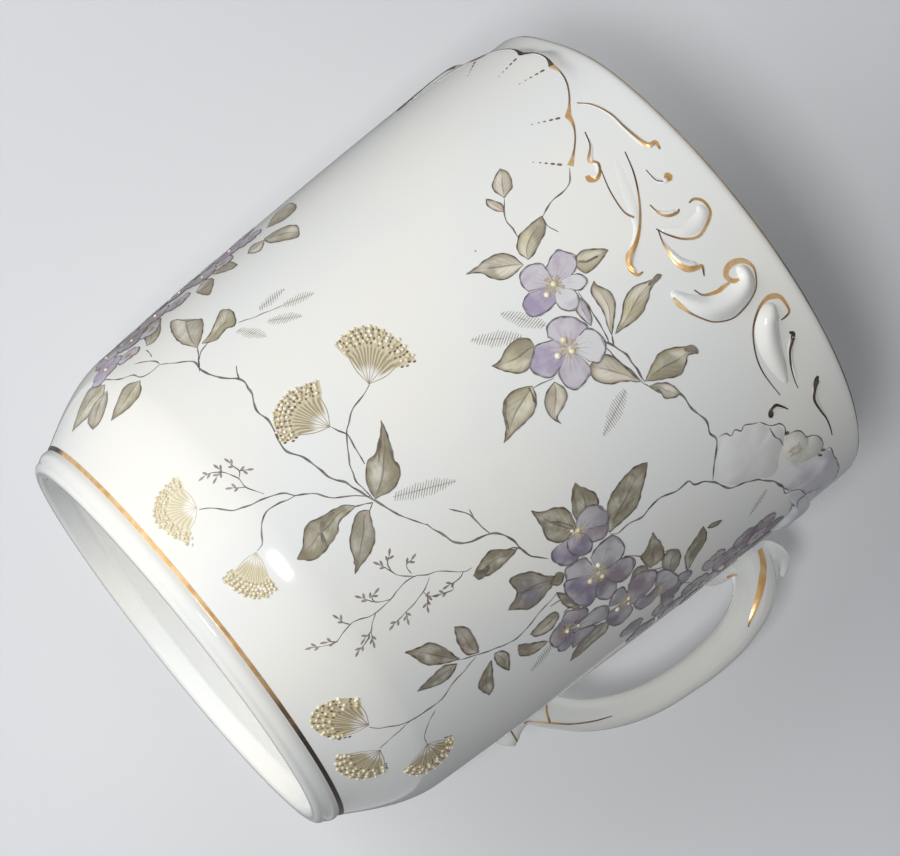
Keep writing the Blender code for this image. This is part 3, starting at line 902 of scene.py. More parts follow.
# %% Ridges on the wall
RIDGE_ROWS = 15
RIDGE_STEP = 0.25 * MM
SIDE_DIP = 0.06 * MM


def across_line(line):
    """Unit steps to the left of a line on the sheet."""
    ahead = np.gradient(line, axis=0)
    ahead /= np.linalg.norm(ahead, axis=1, keepdims=True)
    return np.stack([-ahead[:, 1], ahead[:, 0]], axis=1)


def ridge(name, path):
    """A ridge along sheet places, with half width and rise in the last two columns."""
    line = flowing(path, RIDGE_STEP)
    places, half, rise = line[:, :2], line[:, 2], line[:, 3]
    run = np.concatenate([[0], np.cumsum(np.linalg.norm(np.diff(places, axis=0), axis=1))])
    to_end = np.minimum(run, run[-1] - run) / half
    rounded = np.sqrt(1 - (1 - np.clip(to_end, 0.0004, 1)) ** 2)
    shares = np.sin(np.linspace(-np.pi / 2, np.pi / 2, RIDGE_ROWS))
    sheet = places[None] + across_line(places)[None] * (shares[:, None] * half * rounded)[..., None]
    height = ((1 - shares**2) ** 1.5)[:, None] * (rise * rounded)[None] - SIDE_DIP
    return placed_grid(name, rolled(sheet, height))


def scroll(name, path):
    return ridge(name, [(*sheet_at(row[:2]), row[2] * MM, row[3] * MM) for row in path])


def mirrored(piece, name, turn):
    """A copy on the far side of the handle's plane, turned a few degrees round the cup."""
    bpy.ops.object.select_all(action="DESELECT")
    piece.select_set(True)
    bpy.context.view_layer.objects.active = piece
    bpy.ops.object.duplicate()
    copy = bpy.context.object
    copy.name = name
    turning = Matrix.Translation((AXIS_X, 0, 0)) @ Matrix.Rotation(math.radians(-turn), 4, "Z")
    copy.data.transform(turning @ Matrix.Scale(-1, 4, (0, 1, 0)) @ Matrix.Translation((-AXIS_X, 0, 0)))
    copy.data.flip_normals()
    return copy


relief_pieces = []
for name, path in FRONT_SCROLLS.items():
    relief_pieces.append(finish_piece(joined(name + "_ridge", [scroll(name, path)]), porcelain, "porcelain", name))
for name, path in SIDE_SCROLLS.items():
    front = joined(name + "_front_ridge", [scroll(name, path)])
    back = mirrored(front, name + "_back_ridge", BACK_TURN)
    relief_pieces.append(finish_piece(front, porcelain, "porcelain", name + "_front"))
    relief_pieces.append(finish_piece(back, porcelain, "porcelain", name + "_back"))

# %% Ridge along the border
BORDER_HALF = 0.26 * MM
BORDER_RISE = 0.10 * MM
BORDER_FADE = 2 * SCALLOP_PLACES  # places over which the ridge rises at each end

to_end = np.minimum(np.arange(len(border_line)), np.arange(len(border_line))[::-1])
border_rises = BORDER_RISE * eased(to_end, 0, BORDER_FADE)
border_path = [(*sheet_of(*place), BORDER_HALF, rise) for place, rise in zip(border_line, border_rises)]
border = joined("border_ridge", [ridge("border", border_path)])
relief_pieces.append(finish_piece(border, porcelain, "porcelain", "rocaille_border"))

# %% [markdown]
# ## Relief blossom
#
# Beside the handle a large blossom stands out of the wall in low relief: a broad petal on the left, two
# petals round its heart and one that turns away round the cup. Each petal is a round grid within an outline
# read from the picture, with columns round the petal and rows out from its middle. It is domed, a little
# hollow in the middle and wavy towards its edge, and washed in a thin tint. The tint is partly the petal's
# own colour and partly painted shade, darker on the petals that turn away, and the bud's blue is a painted
# reflection.

# %% Petals in relief
PETAL_COLUMNS = 97
PETAL_RINGS = 20
PETAL_WAVES = 7
# Tints of the relief petals: partly their own thin wash and partly painted shade, darker on the petals that turn away
# round the cup. The bud's blue is a painted reflection.
PALE_WASH = (0.72, 0.715, 0.70, 1)
BEIGE_WASH = (0.58, 0.57, 0.48, 1)
LILAC_WASH = (0.53, 0.51, 0.58, 1)
BLUE_REFLECTION_WASH = (0.60, 0.60, 0.67, 1)
# Spots round the outline, rise in mm and tint, for each node that the petals stand for. Beyond the edge of
# the cup a spot is an angle and a drop.
RELIEF_PETALS = {
    "blossom_leaf": (
        (
            (719, 437), (728, 433), (738, 425), (748, 423), (760, 421), (772, 425), (780, 423), (786, 429),
            (786, 442), (781, 458), (779, 472), (770, 480), (758, 479), (746, 484), (733, 487), (721, 484),
            (715, 470), (716, 450),
        ),
        0.35,
        PALE_WASH,
    ),
    "blossom": (
        (
            (786, 434), (795, 430), (802, 431), (808, 437), (815, 435), (821, 438), (824, 445), (821, 453),
            (811, 460), (800, 464), (789, 463), (782, 453), (783, 442),
        ),
        0.5,
        BEIGE_WASH,
    ),
    "blossom_heart": (
        (
            (788, 462), (800, 463), (811, 459), (820, 453), (826, 449), (832, 450), (837, 460), (-43, 2.9),
            (-37.5, 3.4), (-35, 5.0), (-38, 6.6), (806, 493), (795, 490), (785, 491), (779, 482), (780, 470),
        ),
        0.65,
        LILAC_WASH,
    ),
    "blossom_bud": (
        (
            (786, 493), (800, 491), (807, 494), (-39, 6.8), (-34, 6.0), (-29, 5.6), (-25.5, 6.8), (-24.5, 8.8),
            (-27, 10.6), (-32, 11.4), (789, 512), (797, 501),
        ),
        0.75,
        BLUE_REFLECTION_WASH,
    ),
}


def tinted(piece, tint):
    colours = piece.data.attributes.new("tint", "FLOAT_COLOR", "POINT")
    colours.data.foreach_set("color", np.tile(tint, len(piece.data.vertices)))
    return piece


def relief_petal(name, outline, rise, tint):
    edge = np.array([place_of(spot) for spot in outline])
    edge = flowing(np.vstack([edge, edge[:1]]), 0.4 * MM)
    turned_left = np.sum(edge[:-1, 0] * edge[1:, 1] - edge[1:, 0] * edge[:-1, 1]) > 0
    edge = edge[::-1] if turned_left else edge
    walked = np.linspace(0, len(edge) - 1, PETAL_COLUMNS)
    edge = np.stack([np.interp(walked, np.arange(len(edge)), column) for column in edge.T], axis=1)
    middle = edge[:-1].mean(axis=0)
    out = np.linspace(0, 1, PETAL_RINGS)[:, None]
    around = np.linspace(0, 2 * np.pi, PETAL_COLUMNS)[None]
    dome = np.clip(1 - out**2.6, 0, 1) ** 1.1 * (1 - 0.12 * np.exp(-((out / 0.4) ** 2)))
    wave = 1 + 0.16 * np.sin(PETAL_WAVES * around) * out**2 + 0.08 * np.sin(3 * around + 1) * out
    sheet = middle + out[..., None] * (edge[None] - middle)
    piece = placed_grid(name, rolled(sheet, rise * MM * dome * wave - SIDE_DIP))
    bpy.ops.object.mode_set(mode="EDIT")
    bpy.ops.mesh.select_all(action="SELECT")
    bpy.ops.mesh.remove_doubles(threshold=0.000002)
    bpy.ops.object.mode_set(mode="OBJECT")
    return tinted(piece, tint)


petals = {name: relief_petal(name, *row) for name, row in RELIEF_PETALS.items()}
petals["blossom"] = joined("blossom", [petals["blossom"], petals.pop("blossom_heart")])
for name, petal_piece in petals.items():
    front = joined(name + "_front_relief", [petal_piece])
    back = mirrored(front, name + "_back_relief", BACK_TURN)
    relief_pieces.append(finish_piece(front, washed_and_shaded_porcelain, "porcelain", name + "_front"))
    relief_pieces.append(finish_piece(back, washed_and_shaded_porcelain, "porcelain", name + "_back"))

# %% [markdown]
# ## Laying paint and gold on the relief
#
# Gold and enamel follow whatever is under them, wall or ridge. A search tree of all the porcelain on the
# wall is built once, and every point of a painted piece drops straight in towards the axis until it lands.

# %% A tree of the porcelain on the wall
def surface_tree(pieces):
    corners, faces = [], []
    for piece in pieces:
        faces += [[len(corners) + i for i in polygon.vertices] for polygon in piece.data.polygons]
        corners += [vertex.co.copy() for vertex in piece.data.vertices]
    return BVHTree.FromPolygons(corners, faces)


wall_tree = surface_tree([body] + relief_pieces)
DROP_FROM = 5.0 * MM
RIBBON_ROWS = np.array([-0.5, -0.25, 0.0, 0.25, 0.5])


def laid(sheet, lift):
    """Places that lie on the porcelain under an array of sheet places, lifted a hair."""
    above = rolled(sheet, DROP_FROM).reshape(-1, 3)
    axis = np.stack([np.full(len(above), AXIS_X), np.zeros(len(above)), above[:, 2]], axis=1)
    inward = (axis - above) / np.linalg.norm(axis - above, axis=1, keepdims=True)
    places = []
    for start, way in zip(above, inward):
        hit = wall_tree.ray_cast(Vector(start), Vector(way))[0]
        places.append(np.array(hit) - way * lift)
    return np.array(places).reshape(sheet.shape[:-1] + (3,))


def ribbon(name, line, lift):
    """A thin band along a line of sheet places with its width in the third column."""
    left = across_line(line[:, :2])
    sheet = line[None, :, :2] + left[None] * (RIBBON_ROWS[:, None] * line[:, 2])[..., None]
    return placed_grid(name, laid(sheet, lift))


# %% [markdown]
# ## Gilt strokes
#
# On the scrolls the gold lies along one edge of each ridge: a thread where the brush lands, full at the
# curl. A stroke is a line of pixels with the width of the brush at each in millimetres, and its load
# follows its width.

# %% Strokes on the scrolls
STROKE_STEP = 0.15 * MM
THREAD = 0.10  # mm, a line this thin holds no bright gold
FULL_BRUSH = 0.44  # mm
SIDE_LOADS_AND_SHADE = (1.0, 1.0, 0.8, 0.05, 0.04, 0.03)  # the three strokes nearest the handle are darkened to nearly black as painted shade and a painted dark reflection
FRONT_STROKES = (
    ((577, 103, 0.12), (592, 105, 0.15), (610, 114, 0.17), (625, 128, 0.20), (640, 141, 0.28), (649, 146, 0.45),
        (655, 142, 0.40), (660, 149, 0.20)),
    ((585, 132, 0.10), (590, 146, 0.15), (589, 161, 0.30), (598, 163, 0.22), (600, 172, 0.24), (597, 179, 0.34),
        (590, 180, 0.55), (587, 176, 0.45)),
    ((601, 170, 0.08), (610, 191, 0.12), (623, 211, 0.17), (634, 218, 0.22)),
    ((625, 152, 0.10), (634, 174, 0.15), (639, 198, 0.18), (640, 222, 0.24), (636, 243, 0.40), (629, 256, 0.60),
        (630, 268, 0.46), (637, 275, 0.32), (643, 272, 0.14)),
    ((646, 170, 0.08), (655, 180, 0.10), (663, 182, 0.12)),
    ((666, 173, 0.30), (668, 177, 0.85), (670, 181, 0.40)),
    ((650, 205, 0.10), (658, 213, 0.18), (668, 216, 0.26), (677, 213, 0.26), (679, 209, 0.14)),
    ((656, 229, 0.10), (668, 235, 0.17), (684, 239, 0.22), (699, 236, 0.26), (708, 222, 0.28), (710, 211, 0.26),
        (703, 201, 0.28), (694, 199, 0.26), (689, 203, 0.14)),
    ((658, 230, 0.10), (664, 245, 0.18), (675, 261, 0.38), (686, 269, 0.58), (697, 268, 0.44), (702, 266, 0.28),
        (704, 276, 0.12)),
)
SIDE_STROKES = (
    ((673, 298, 0.20), (679, 305, 0.42), (690, 313, 0.20), (703, 319, 0.15), (716, 322, 0.14), (733, 318, 0.15),
        (746, 306, 0.17), (755, 291, 0.15), (756, 278, 0.16), (753, 267, 0.26), (744, 261, 0.46),
        (734, 262, 0.56), (727, 268, 0.56), (726, 276, 0.50), (732, 281, 0.45), (738, 279, 0.22)),
    ((694, 290, 0.10), (703, 295, 0.20), (716, 292, 0.34), (723, 287, 0.38), (729, 283, 0.25)),
    ((780, 395, 0.08), (771, 384, 0.10), (762, 371, 0.13), (756, 356, 0.15), (753, 337, 0.17), (754, 323, 0.20),
        (759, 308, 0.26), (766, 299, 0.42), (773, 296, 0.55), (780, 297, 0.40), (786, 304, 0.28),
        (789, 311, 0.24), (786, 316, 0.20), (781, 320, 0.10)),
    ((789, 332, 0.15), (793, 334, 0.48), (791, 341, 0.32), (789, 351, 0.20), (790, 362, 0.16), (792, 372, 0.13),
        (795, 382, 0.10), (798, 388, 0.07)),
    ((818, 376, 0.30), (816, 380, 0.52), (814, 389, 0.26), (814, 400, 0.22), (820, 410, 0.20), (826, 418, 0.18),
        (830, 427, 0.15), (832, 435, 0.10)),
    ((788, 409, 0.10), (781, 406, 0.20), (775, 405, 0.28), (770, 410, 0.28), (771, 415, 0.62), (773, 416, 0.30)),
)


def width_load(widths):
    return np.clip((widths / MM - THREAD) / (FULL_BRUSH - THREAD), 0, 1)


def stroke(path, full=1.0):
    """A brush stroke along sheet places with the width in the third column."""
    line = flowing(path, STROKE_STEP)
    piece = ribbon("stroke", line, GILT_LIFT)
    return brush_load(piece, np.tile(full * width_load(line[:, 2]), len(RIBBON_ROWS)))


def pixel_stroke(path, full=1.0):
    return stroke([(*sheet_at(row[:2]), row[2] * MM) for row in path], full)


front_gilt = joined("gilt_front_scrolls", [pixel_stroke(path) for path in FRONT_STROKES])
finish_piece(front_gilt, gilding, "gilding")
side_strokes = [pixel_stroke(path, full) for path, full in zip(SIDE_STROKES, SIDE_LOADS_AND_SHADE)]
side_gilt = joined("gilt_side_scrolls_front", side_strokes)
side_gilt_back = mirrored(side_gilt, "gilt_side_scrolls_back", BACK_TURN)
finish_piece(side_gilt, gilding, "gilding")
finish_piece(side_gilt_back, gilding, "gilding")

# %% Border line with touches at the cusps
BORDER_THREAD = 0.15
CUSP_TOUCH = 0.62
CUSP_REACH = 2.0
# From angle to angle along the border, and the load of the brush there.
GILT_RUNS = ((-260.0, -227.5, 1.0), (-227.5, -162.5, 0.12), (-162.5, -130.0, 1.0))
# How far below a cusp each dash starts, and its width, in mm.
DASHES = ((0.8, 0.30), (1.5, 0.24), (2.2, 0.17), (2.8, 0.12), (3.5, 0.10))


def border_width(angle, drop):
    """The thread swells into a touch of gold round each cusp."""
    nearest = min(math.hypot((angle - at[0]) * 0.5, drop - at[1]) for at in cusps[1:-1])
    return BORDER_THREAD + (CUSP_TOUCH - BORDER_THREAD) * max(0.0, 1 - nearest / CUSP_REACH) ** 1.6


def dashes(before, cusp, after):
    """A row of dashes square to the border, from a cusp into the panel."""
    chord = sheet_of(*after) - sheet_of(*before)
    inward = np.array([chord[1], -chord[0]]) / np.linalg.norm(chord)
    row = []
    for start, size in DASHES:
        reaches = ((start, 0.6), (start + 0.7 * size, 1.0), (start + 1.6 * size, 0.4))
        places = [(*(sheet_of(*cusp) + inward * reach * MM), size * width * MM) for reach, width in reaches]
        row.append(stroke(places, 0.5))
    return row


gilt_run = border_line[SCALLOP_PLACES:-SCALLOP_PLACES]
border_strokes = [
    stroke([(*sheet_of(*place), border_width(*place) * MM) for place in gilt_run if low <= place[0] <= high], full)
    for low, high, full in GILT_RUNS
]
dash_rows = [mark for row in zip(cusps, cusps[1:], cusps[2:]) for mark in dashes(*row)]
finish_piece(joined("gilt_border", border_strokes + dash_rows), gilding, "gilding")

# %% [markdown]
# ## Gilding on the handle
#
# A broad stroke of gold runs down the shoulder from the spur, a thin line rings the lower root and runs on
# along the bead, and the hollows of the bracket and the terminal are touched with brown gold. The strokes
# are found by the pixels where they are seen, cast onto the handle, and mirrored to its other side.

# %% Strokes on the handle
HANDLE_LIFT = 0.03 * MM
HANDLE_STROKES = (
    ((760, 549, 0.80), (763, 560, 0.85), (763, 575, 0.85), (760, 591, 0.80), (756, 605, 0.62), (751, 618, 0.38),
        (748, 627, 0.10)),
    ((546, 703, 0.14), (547, 713, 0.30), (550, 723, 0.18)),
    ((524, 723, 0.16), (537, 722, 0.32), (550, 723, 0.30), (570, 724, 0.22), (594, 721, 0.15), (612, 716, 0.08)),
    ((511, 731, 0.14), (514, 736, 0.22), (517, 742, 0.12)),
    ((727, 577, 0.20), (732, 576, 0.50), (737, 575, 0.20)),
)
handle_tree = surface_tree([handle])


def handle_at(pixel):
    """Place on the handle that is seen at a pixel, or the nearest one."""
    way = Vector(sight(pixel))
    hit = handle_tree.ray_cast(Vector(EYE), way)[0]
    return hit or handle_tree.find_nearest(Vector(EYE) + way * CAMERA_DISTANCE)[0]


def handle_stroke(path):
    """A ribbon that follows the handle's skin."""
    line = flowing([(*handle_at(row[:2]), row[2] * MM) for row in path], STROKE_STEP)
    ahead = np.gradient(line[:, :3], axis=0)
    places = np.zeros((len(RIBBON_ROWS), len(line), 3))
    for column, (place, way) in enumerate(zip(line, ahead)):
        on, normal = handle_tree.find_nearest(Vector(place[:3]))[:2]
        left = normal.cross(Vector(way)).normalized()
        for row, share in enumerate(RIBBON_ROWS):
            on_side, side_normal = handle_tree.find_nearest(on + left * share * place[3])[:2]
            places[row, column] = on_side + side_normal * HANDLE_LIFT
    piece = placed_grid("handle_stroke", places)
    return brush_load(piece, np.tile(width_load(line[:, 3]), len(RIBBON_ROWS)))


handle_gilt = joined("gilt_handle_strokes", [handle_stroke(path) for path in HANDLE_STROKES])
finish_piece(mirrored(handle_gilt, "gilt_handle_strokes_back", 0.0), gilding, "gilding")
finish_piece(handle_gilt, gilding, "gilding")

# %% [markdown]
# ## The painted sprays
#
# Sprays grow over the wall: twining branches, pointed leaves, lilac blossoms, flat-topped heads on long
# stalks, and hatched ferns in the background. They are listed as the painter would lay them out, spray
# by spray, in pixels of the picture, and then laid on the wall. A leaf is the sheet between its two edges,
# outlined with a shaky pen.

# %% Leaf tints and the leaves of each spray
OLIVE = (0.49, 0.45, 0.31, 1)
TAUPE = (0.56, 0.51, 0.42, 1)
GREY = (0.56, 0.52, 0.46, 1)
RUST = (0.50, 0.37, 0.30, 1)
VIOLET_GREY = (0.48, 0.45, 0.53, 1)

# Tint, base pixel, tip pixel, and pixels along the two edges from base to tip.
LEAVES = {
    "upper_spray": (
        (TAUPE, (504, 198), (500, 169), ((493, 189), (494, 180), (497, 174)), ((511, 189), (512, 182), (508, 173))),
        (RUST, (504, 212), (486, 199), ((496, 211), (488, 206)), ((502, 205), (495, 201))),
        (OLIVE, (528, 260), (542, 216), ((518, 251), (519, 237), (528, 227)), ((534, 253), (544, 234), (545, 224))),
        (TAUPE, (523, 265), (466, 274), ((512, 256), (500, 254), (487, 259), (476, 268)), ((514, 274), (503, 280),
            (491, 278), (481, 273))),
        (OLIVE, (575, 262), (608, 250), ((577, 255), (586, 250), (597, 249)), ((578, 268), (586, 273), (594, 268),
            (602, 259))),
        (VIOLET_GREY, (591, 326), (579, 297), ((584, 320), (576, 310)), ((591, 315), (586, 304))),
        (TAUPE, (612, 335), (594, 281), ((607, 325), (603, 311), (594, 298), (591, 290)), ((614, 318), (615, 303),
            (609, 291), (598, 286))),
        (OLIVE, (615, 334), (662, 275), ((622, 315), (625, 299), (634, 287), (649, 281)), ((625, 327), (640, 315),
            (648, 299), (651, 288))),
        (OLIVE, (535, 347), (492, 366), ((528, 339), (516, 340), (506, 349), (500, 361)), ((530, 365), (522, 373),
            (509, 372), (499, 369))),
        (OLIVE, (532, 386), (504, 443), ((516, 390), (505, 400), (503, 413), (506, 429)), ((536, 397), (534, 411),
            (526, 421), (513, 433))),
        (TAUPE, (554, 382), (561, 424), ((546, 394), (545, 406), (551, 417)), ((565, 390), (566, 400), (560, 411),
            (557, 418))),
        (TAUPE, (640, 382), (589, 367), ((625, 381), (609, 384), (597, 381), (591, 374)), ((623, 365), (613, 357),
            (603, 355), (594, 361))),
        (OLIVE, (645, 381), (697, 353), ((652, 365), (660, 353), (673, 348), (687, 347), (693, 348)), ((663, 379),
            (679, 375), (685, 366), (688, 355))),
        (GREY, (649, 386), (681, 393), ((659, 383), (670, 384)), ((660, 391), (665, 398), (675, 397))),
    ),
    "lower_spray": (
        (OLIVE, (517, 549), (473, 576), ((511, 556), (500, 567), (488, 575), (480, 577)), ((505, 550), (491, 551),
            (482, 560), (476, 571))),
        (OLIVE, (576, 527), (531, 511), ((567, 510), (556, 508), (543, 512)), ((566, 540), (556, 542), (547, 538),
            (541, 525))),
        (OLIVE, (580, 522), (575, 483), ((574, 515), (572, 500), (573, 491)), ((597, 508), (596, 495), (588, 490),
            (580, 487))),
        (OLIVE, (609, 532), (647, 462), ((607, 514), (610, 498), (622, 480), (635, 467)), ((621, 522), (636, 507),
            (641, 491), (645, 476))),
        (VIOLET_GREY, (559, 577), (508, 610), ((545, 576), (532, 572), (518, 575), (510, 581), (517, 593)),
            ((549, 589), (540, 600), (530, 608), (518, 609))),
        (OLIVE, (558, 613), (530, 634), ((552, 613), (541, 622)), ((558, 618), (551, 629), (538, 636))),
        (RUST, (548, 641), (518, 645), ((538, 642), (527, 644)), ((541, 648), (532, 654), (520, 655))),
        (GREY, (608, 621), (570, 661), ((596, 626), (584, 638), (575, 650)), ((606, 631), (592, 643), (580, 654))),
        (OLIVE, (650, 568), (653, 532), ((641, 558), (646, 550), (650, 541)), ((663, 557), (661, 544), (656, 538))),
        (OLIVE, (687, 571), (703, 526), ((685, 557), (693, 542), (699, 533)), ((695, 557), (705, 541), (706, 533))),
        (RUST, (707, 528), (722, 520), ((713, 523),), ((716, 526),)),
        (RUST, (479, 652), (454, 627), ((467, 654), (458, 643), (456, 634)), ((476, 643), (469, 630), (461, 627))),
        (OLIVE, (459, 659), (405, 652), ((444, 663), (426, 664), (415, 657)), ((445, 649), (431, 643), (418, 648))),
        (TAUPE, (457, 664), (417, 691), ((450, 676), (439, 684), (427, 688)), ((444, 666), (431, 677))),
        (OLIVE, (491, 660), (489, 695), ((482, 676), (479, 687)), ((492, 673), (493, 687))),
        (OLIVE, (494, 654), (509, 670), ((500, 651), (508, 654)), ((496, 662), (502, 667))),
        (OLIVE, (564, 574), (550, 584), ((557, 573),), ((560, 584),)),
        (OLIVE, (580, 608), (556, 592), ((570, 596),), ((566, 606),)),
        (OLIVE, (630, 582), (648, 565), ((635, 569),), ((645, 579),)),
        (GREY, (667, 577), (678, 549), ((662, 562), (668, 551)), ((676, 568), (680, 557))),
    ),
    "centre_spray": (
        (OLIVE, (375, 499), (381, 420), ((367, 483), (367, 463), (376, 453), (379, 441), (381, 430)), ((393, 489),
            (400, 475), (398, 464), (393, 459), (391, 448), (387, 434))),
        (OLIVE, (356, 506), (297, 559), ((345, 505), (333, 510), (322, 517), (309, 523), (304, 533), (303, 547)),
            ((347, 514), (339, 522), (337, 533), (330, 544), (322, 554), (313, 560), (304, 560))),
        (TAUPE, (369, 510), (355, 574), ((358, 513), (353, 524), (350, 540), (352, 553), (355, 561)), ((372, 524),
            (375, 536), (372, 548), (365, 560), (359, 567))),
    ),
    "left_spray": (
        (OLIVE, (105, 385), (72, 432), ((90, 389), (81, 405)), ((102, 400), (90, 415))),
        (TAUPE, (107, 391), (93, 430), ((94, 405), (88, 421)), ((107, 403), (101, 420))),
        (OLIVE, (140, 381), (111, 421), ((125, 387), (117, 403)), ((140, 394), (128, 409))),
        (OLIVE, (147, 346), (161, 318), ((144, 331), (152, 322)), ((154, 342), (160, 332))),
        (TAUPE, (197, 348), (188, 322), ((181, 343), (173, 334), (171, 322), (179, 320)), ((200, 341), (203, 331),
            (202, 320), (195, 320))),
        (OLIVE, (202, 344), (229, 309), ((210, 334), (217, 319), (221, 311)), ((216, 340), (226, 329), (235, 325),
            (234, 314))),
        (TAUPE, (196, 292), (214, 279), ((204, 281), (210, 279)), ((204, 295), (210, 294), (213, 285))),
        (OLIVE, (213, 275), (238, 265), ((222, 262), (231, 262)), ((224, 272), (232, 269))),
        (TAUPE, (264, 239), (299, 231), ((276, 231), (288, 226), (297, 226)), ((270, 243), (288, 240), (298, 237))),
        (OLIVE, (267, 228), (296, 205), ((276, 214), (288, 204)), ((284, 220), (295, 210))),
        (TAUPE, (265, 240), (248, 254), ((252, 246),), ((260, 251),)),
    ),
}

# %% Paint the leaves
# Share of its tint that the paint of a spray has. The lower spray's share is lowered partly as painted shade, for it
# lies at the shaded edge of the cup by the handle.
PAINT_SHARES_WITH_SHADE = {"upper_spray": 1.25, "lower_spray": 0.49, "centre_spray": 0.68, "left_spray": 0.95}
LEAF_COLUMNS = 27
LEAF_ROWS = 9
LEAF_LIFT = 0.016 * MM
LAYER = 0.0015 * MM
LINE_STEP = 0.30 * MM
KINK = 0.07 * MM
INK = 0.125  # mm
BROAD_INK = {"lower_spray": 0.17}
INK_STEP = 0.16 * MM
INK_KINK = 0.035 * MM


def spread(pixels, count):
    """Sheet places at even steps along a smooth line through pixels."""
    line = flowing([place_of(spot) for spot in pixels], 0.1 * MM)
    run = np.concatenate([[0], np.cumsum(np.linalg.norm(np.diff(line, axis=0), axis=1))])
    steps = np.linspace(0, run[-1], count)
    return np.stack([np.interp(steps, run, column) for column in line.T], axis=1)


def facing_out(sheet):
    """Turns a grid of sheet places over where its faces would look into the wall."""
    ring = np.vstack([sheet[0], sheet[-1][::-1]])
    after = np.roll(ring, -1, axis=0)
    return sheet if np.sum(ring[:, 0] * after[:, 1] - after[:, 0] * ring[:, 1]) > 0 else sheet[::-1]


def drawn_line(pixels, width, step=LINE_STEP, kink=KINK):
    """A pen line through pixels that shakes a little, with a width that wanders and thins at both ends."""
    line = flowing([place_of(spot) for spot in pixels], step)
    share = np.linspace(0, 1, len(line))
    kinks = [dice.uniform(-kink, kink) for place in range(len(line) // 3 + 2)]
    shake = np.interp(np.arange(len(line)), np.arange(len(kinks)) * 3, kinks)
    line = line + across_line(line) * shake[:, None]
    wander = 1 + 0.3 * np.sin(np.arange(len(line)) * 0.9 + dice.uniform(0, 6))
    ends = 0.45 + 0.55 * np.minimum(1, np.minimum(share, 1 - share) * 8)
    return np.column_stack([line, width * MM * wander * ends])


def pen(name, line, tint, lift):
    return tinted(ribbon(name, line, lift), tint)


def ink(spray, pixels, tint, lift):
    """A fine outline that wavers along the edge of a wash."""
    return pen("ink", drawn_line(pixels, BROAD_INK.get(spray, INK), INK_STEP, INK_KINK), tint, lift + LAYER / 2)


def leaf(tint, base, tip, first_edge, second_edge, lift):
    first, second = (spread((base, *edge, tip), LEAF_COLUMNS) for edge in (first_edge, second_edge))
    sheet = first + np.linspace(0, 1, LEAF_ROWS)[:, None, None] * (second - first)
    return tinted(placed_grid("leaf", laid(facing_out(sheet), lift)), tint)


spray_pieces = {}
for spray, leaves in LEAVES.items():
    parts, outlines = [], []
    for place, (tint, base, tip, *edges) in enumerate(leaves):
        lift = LEAF_LIFT + LAYER * place
        parts.append(leaf(np.array(tint) * PAINT_SHARES_WITH_SHADE[spray], base, tip, *edges, lift))
        outlines += [ink(spray, (base, *edge, tip), PEN_BROWN, lift) for edge in edges]
    spray_pieces[spray + "_leaves"] = (joined(spray + "_leaves", parts), leaf_enamel, "leaf_enamel")
    spray_pieces[spray + "_leaf_ink"] = (joined(spray + "_leaf_ink", outlines), pen_line, "leaf_enamel")
print({name: len(made[0].data.polygons) for name, made in spray_pieces.items()})

# %% [markdown]
# ## Blossoms
#
# A blossom has four or five broad petals, no two alike. Each petal is a fan of faces from the middle of the
# blossom to an outline read from the picture, and the petals overlap like tiles, each a hair above the
# last. The small blossoms that are seen edge on have plain round petals. A ring of stamens and a few
# raised beads fill the middle.

# %% Outlines of the petals
PALE = (0.70, 0.69, 0.70, 1)
LILAC = (0.54, 0.49, 0.56, 1)
DEEP = (0.38, 0.32, 0.45, 1)
MISTY = (0.52, 0.51, 0.54, 1)
ROSE = (0.45, 0.37, 0.42, 1)
ASH = (0.33, 0.31, 0.34, 1)
DUSK = (0.25, 0.22, 0.26, 1)
# Plum is a dark violet that is darkened further as painted shade, for the blossoms at the shaded edge beside the
# handle.
PLUM_AND_SHADE = (0.19, 0.145, 0.225, 1)

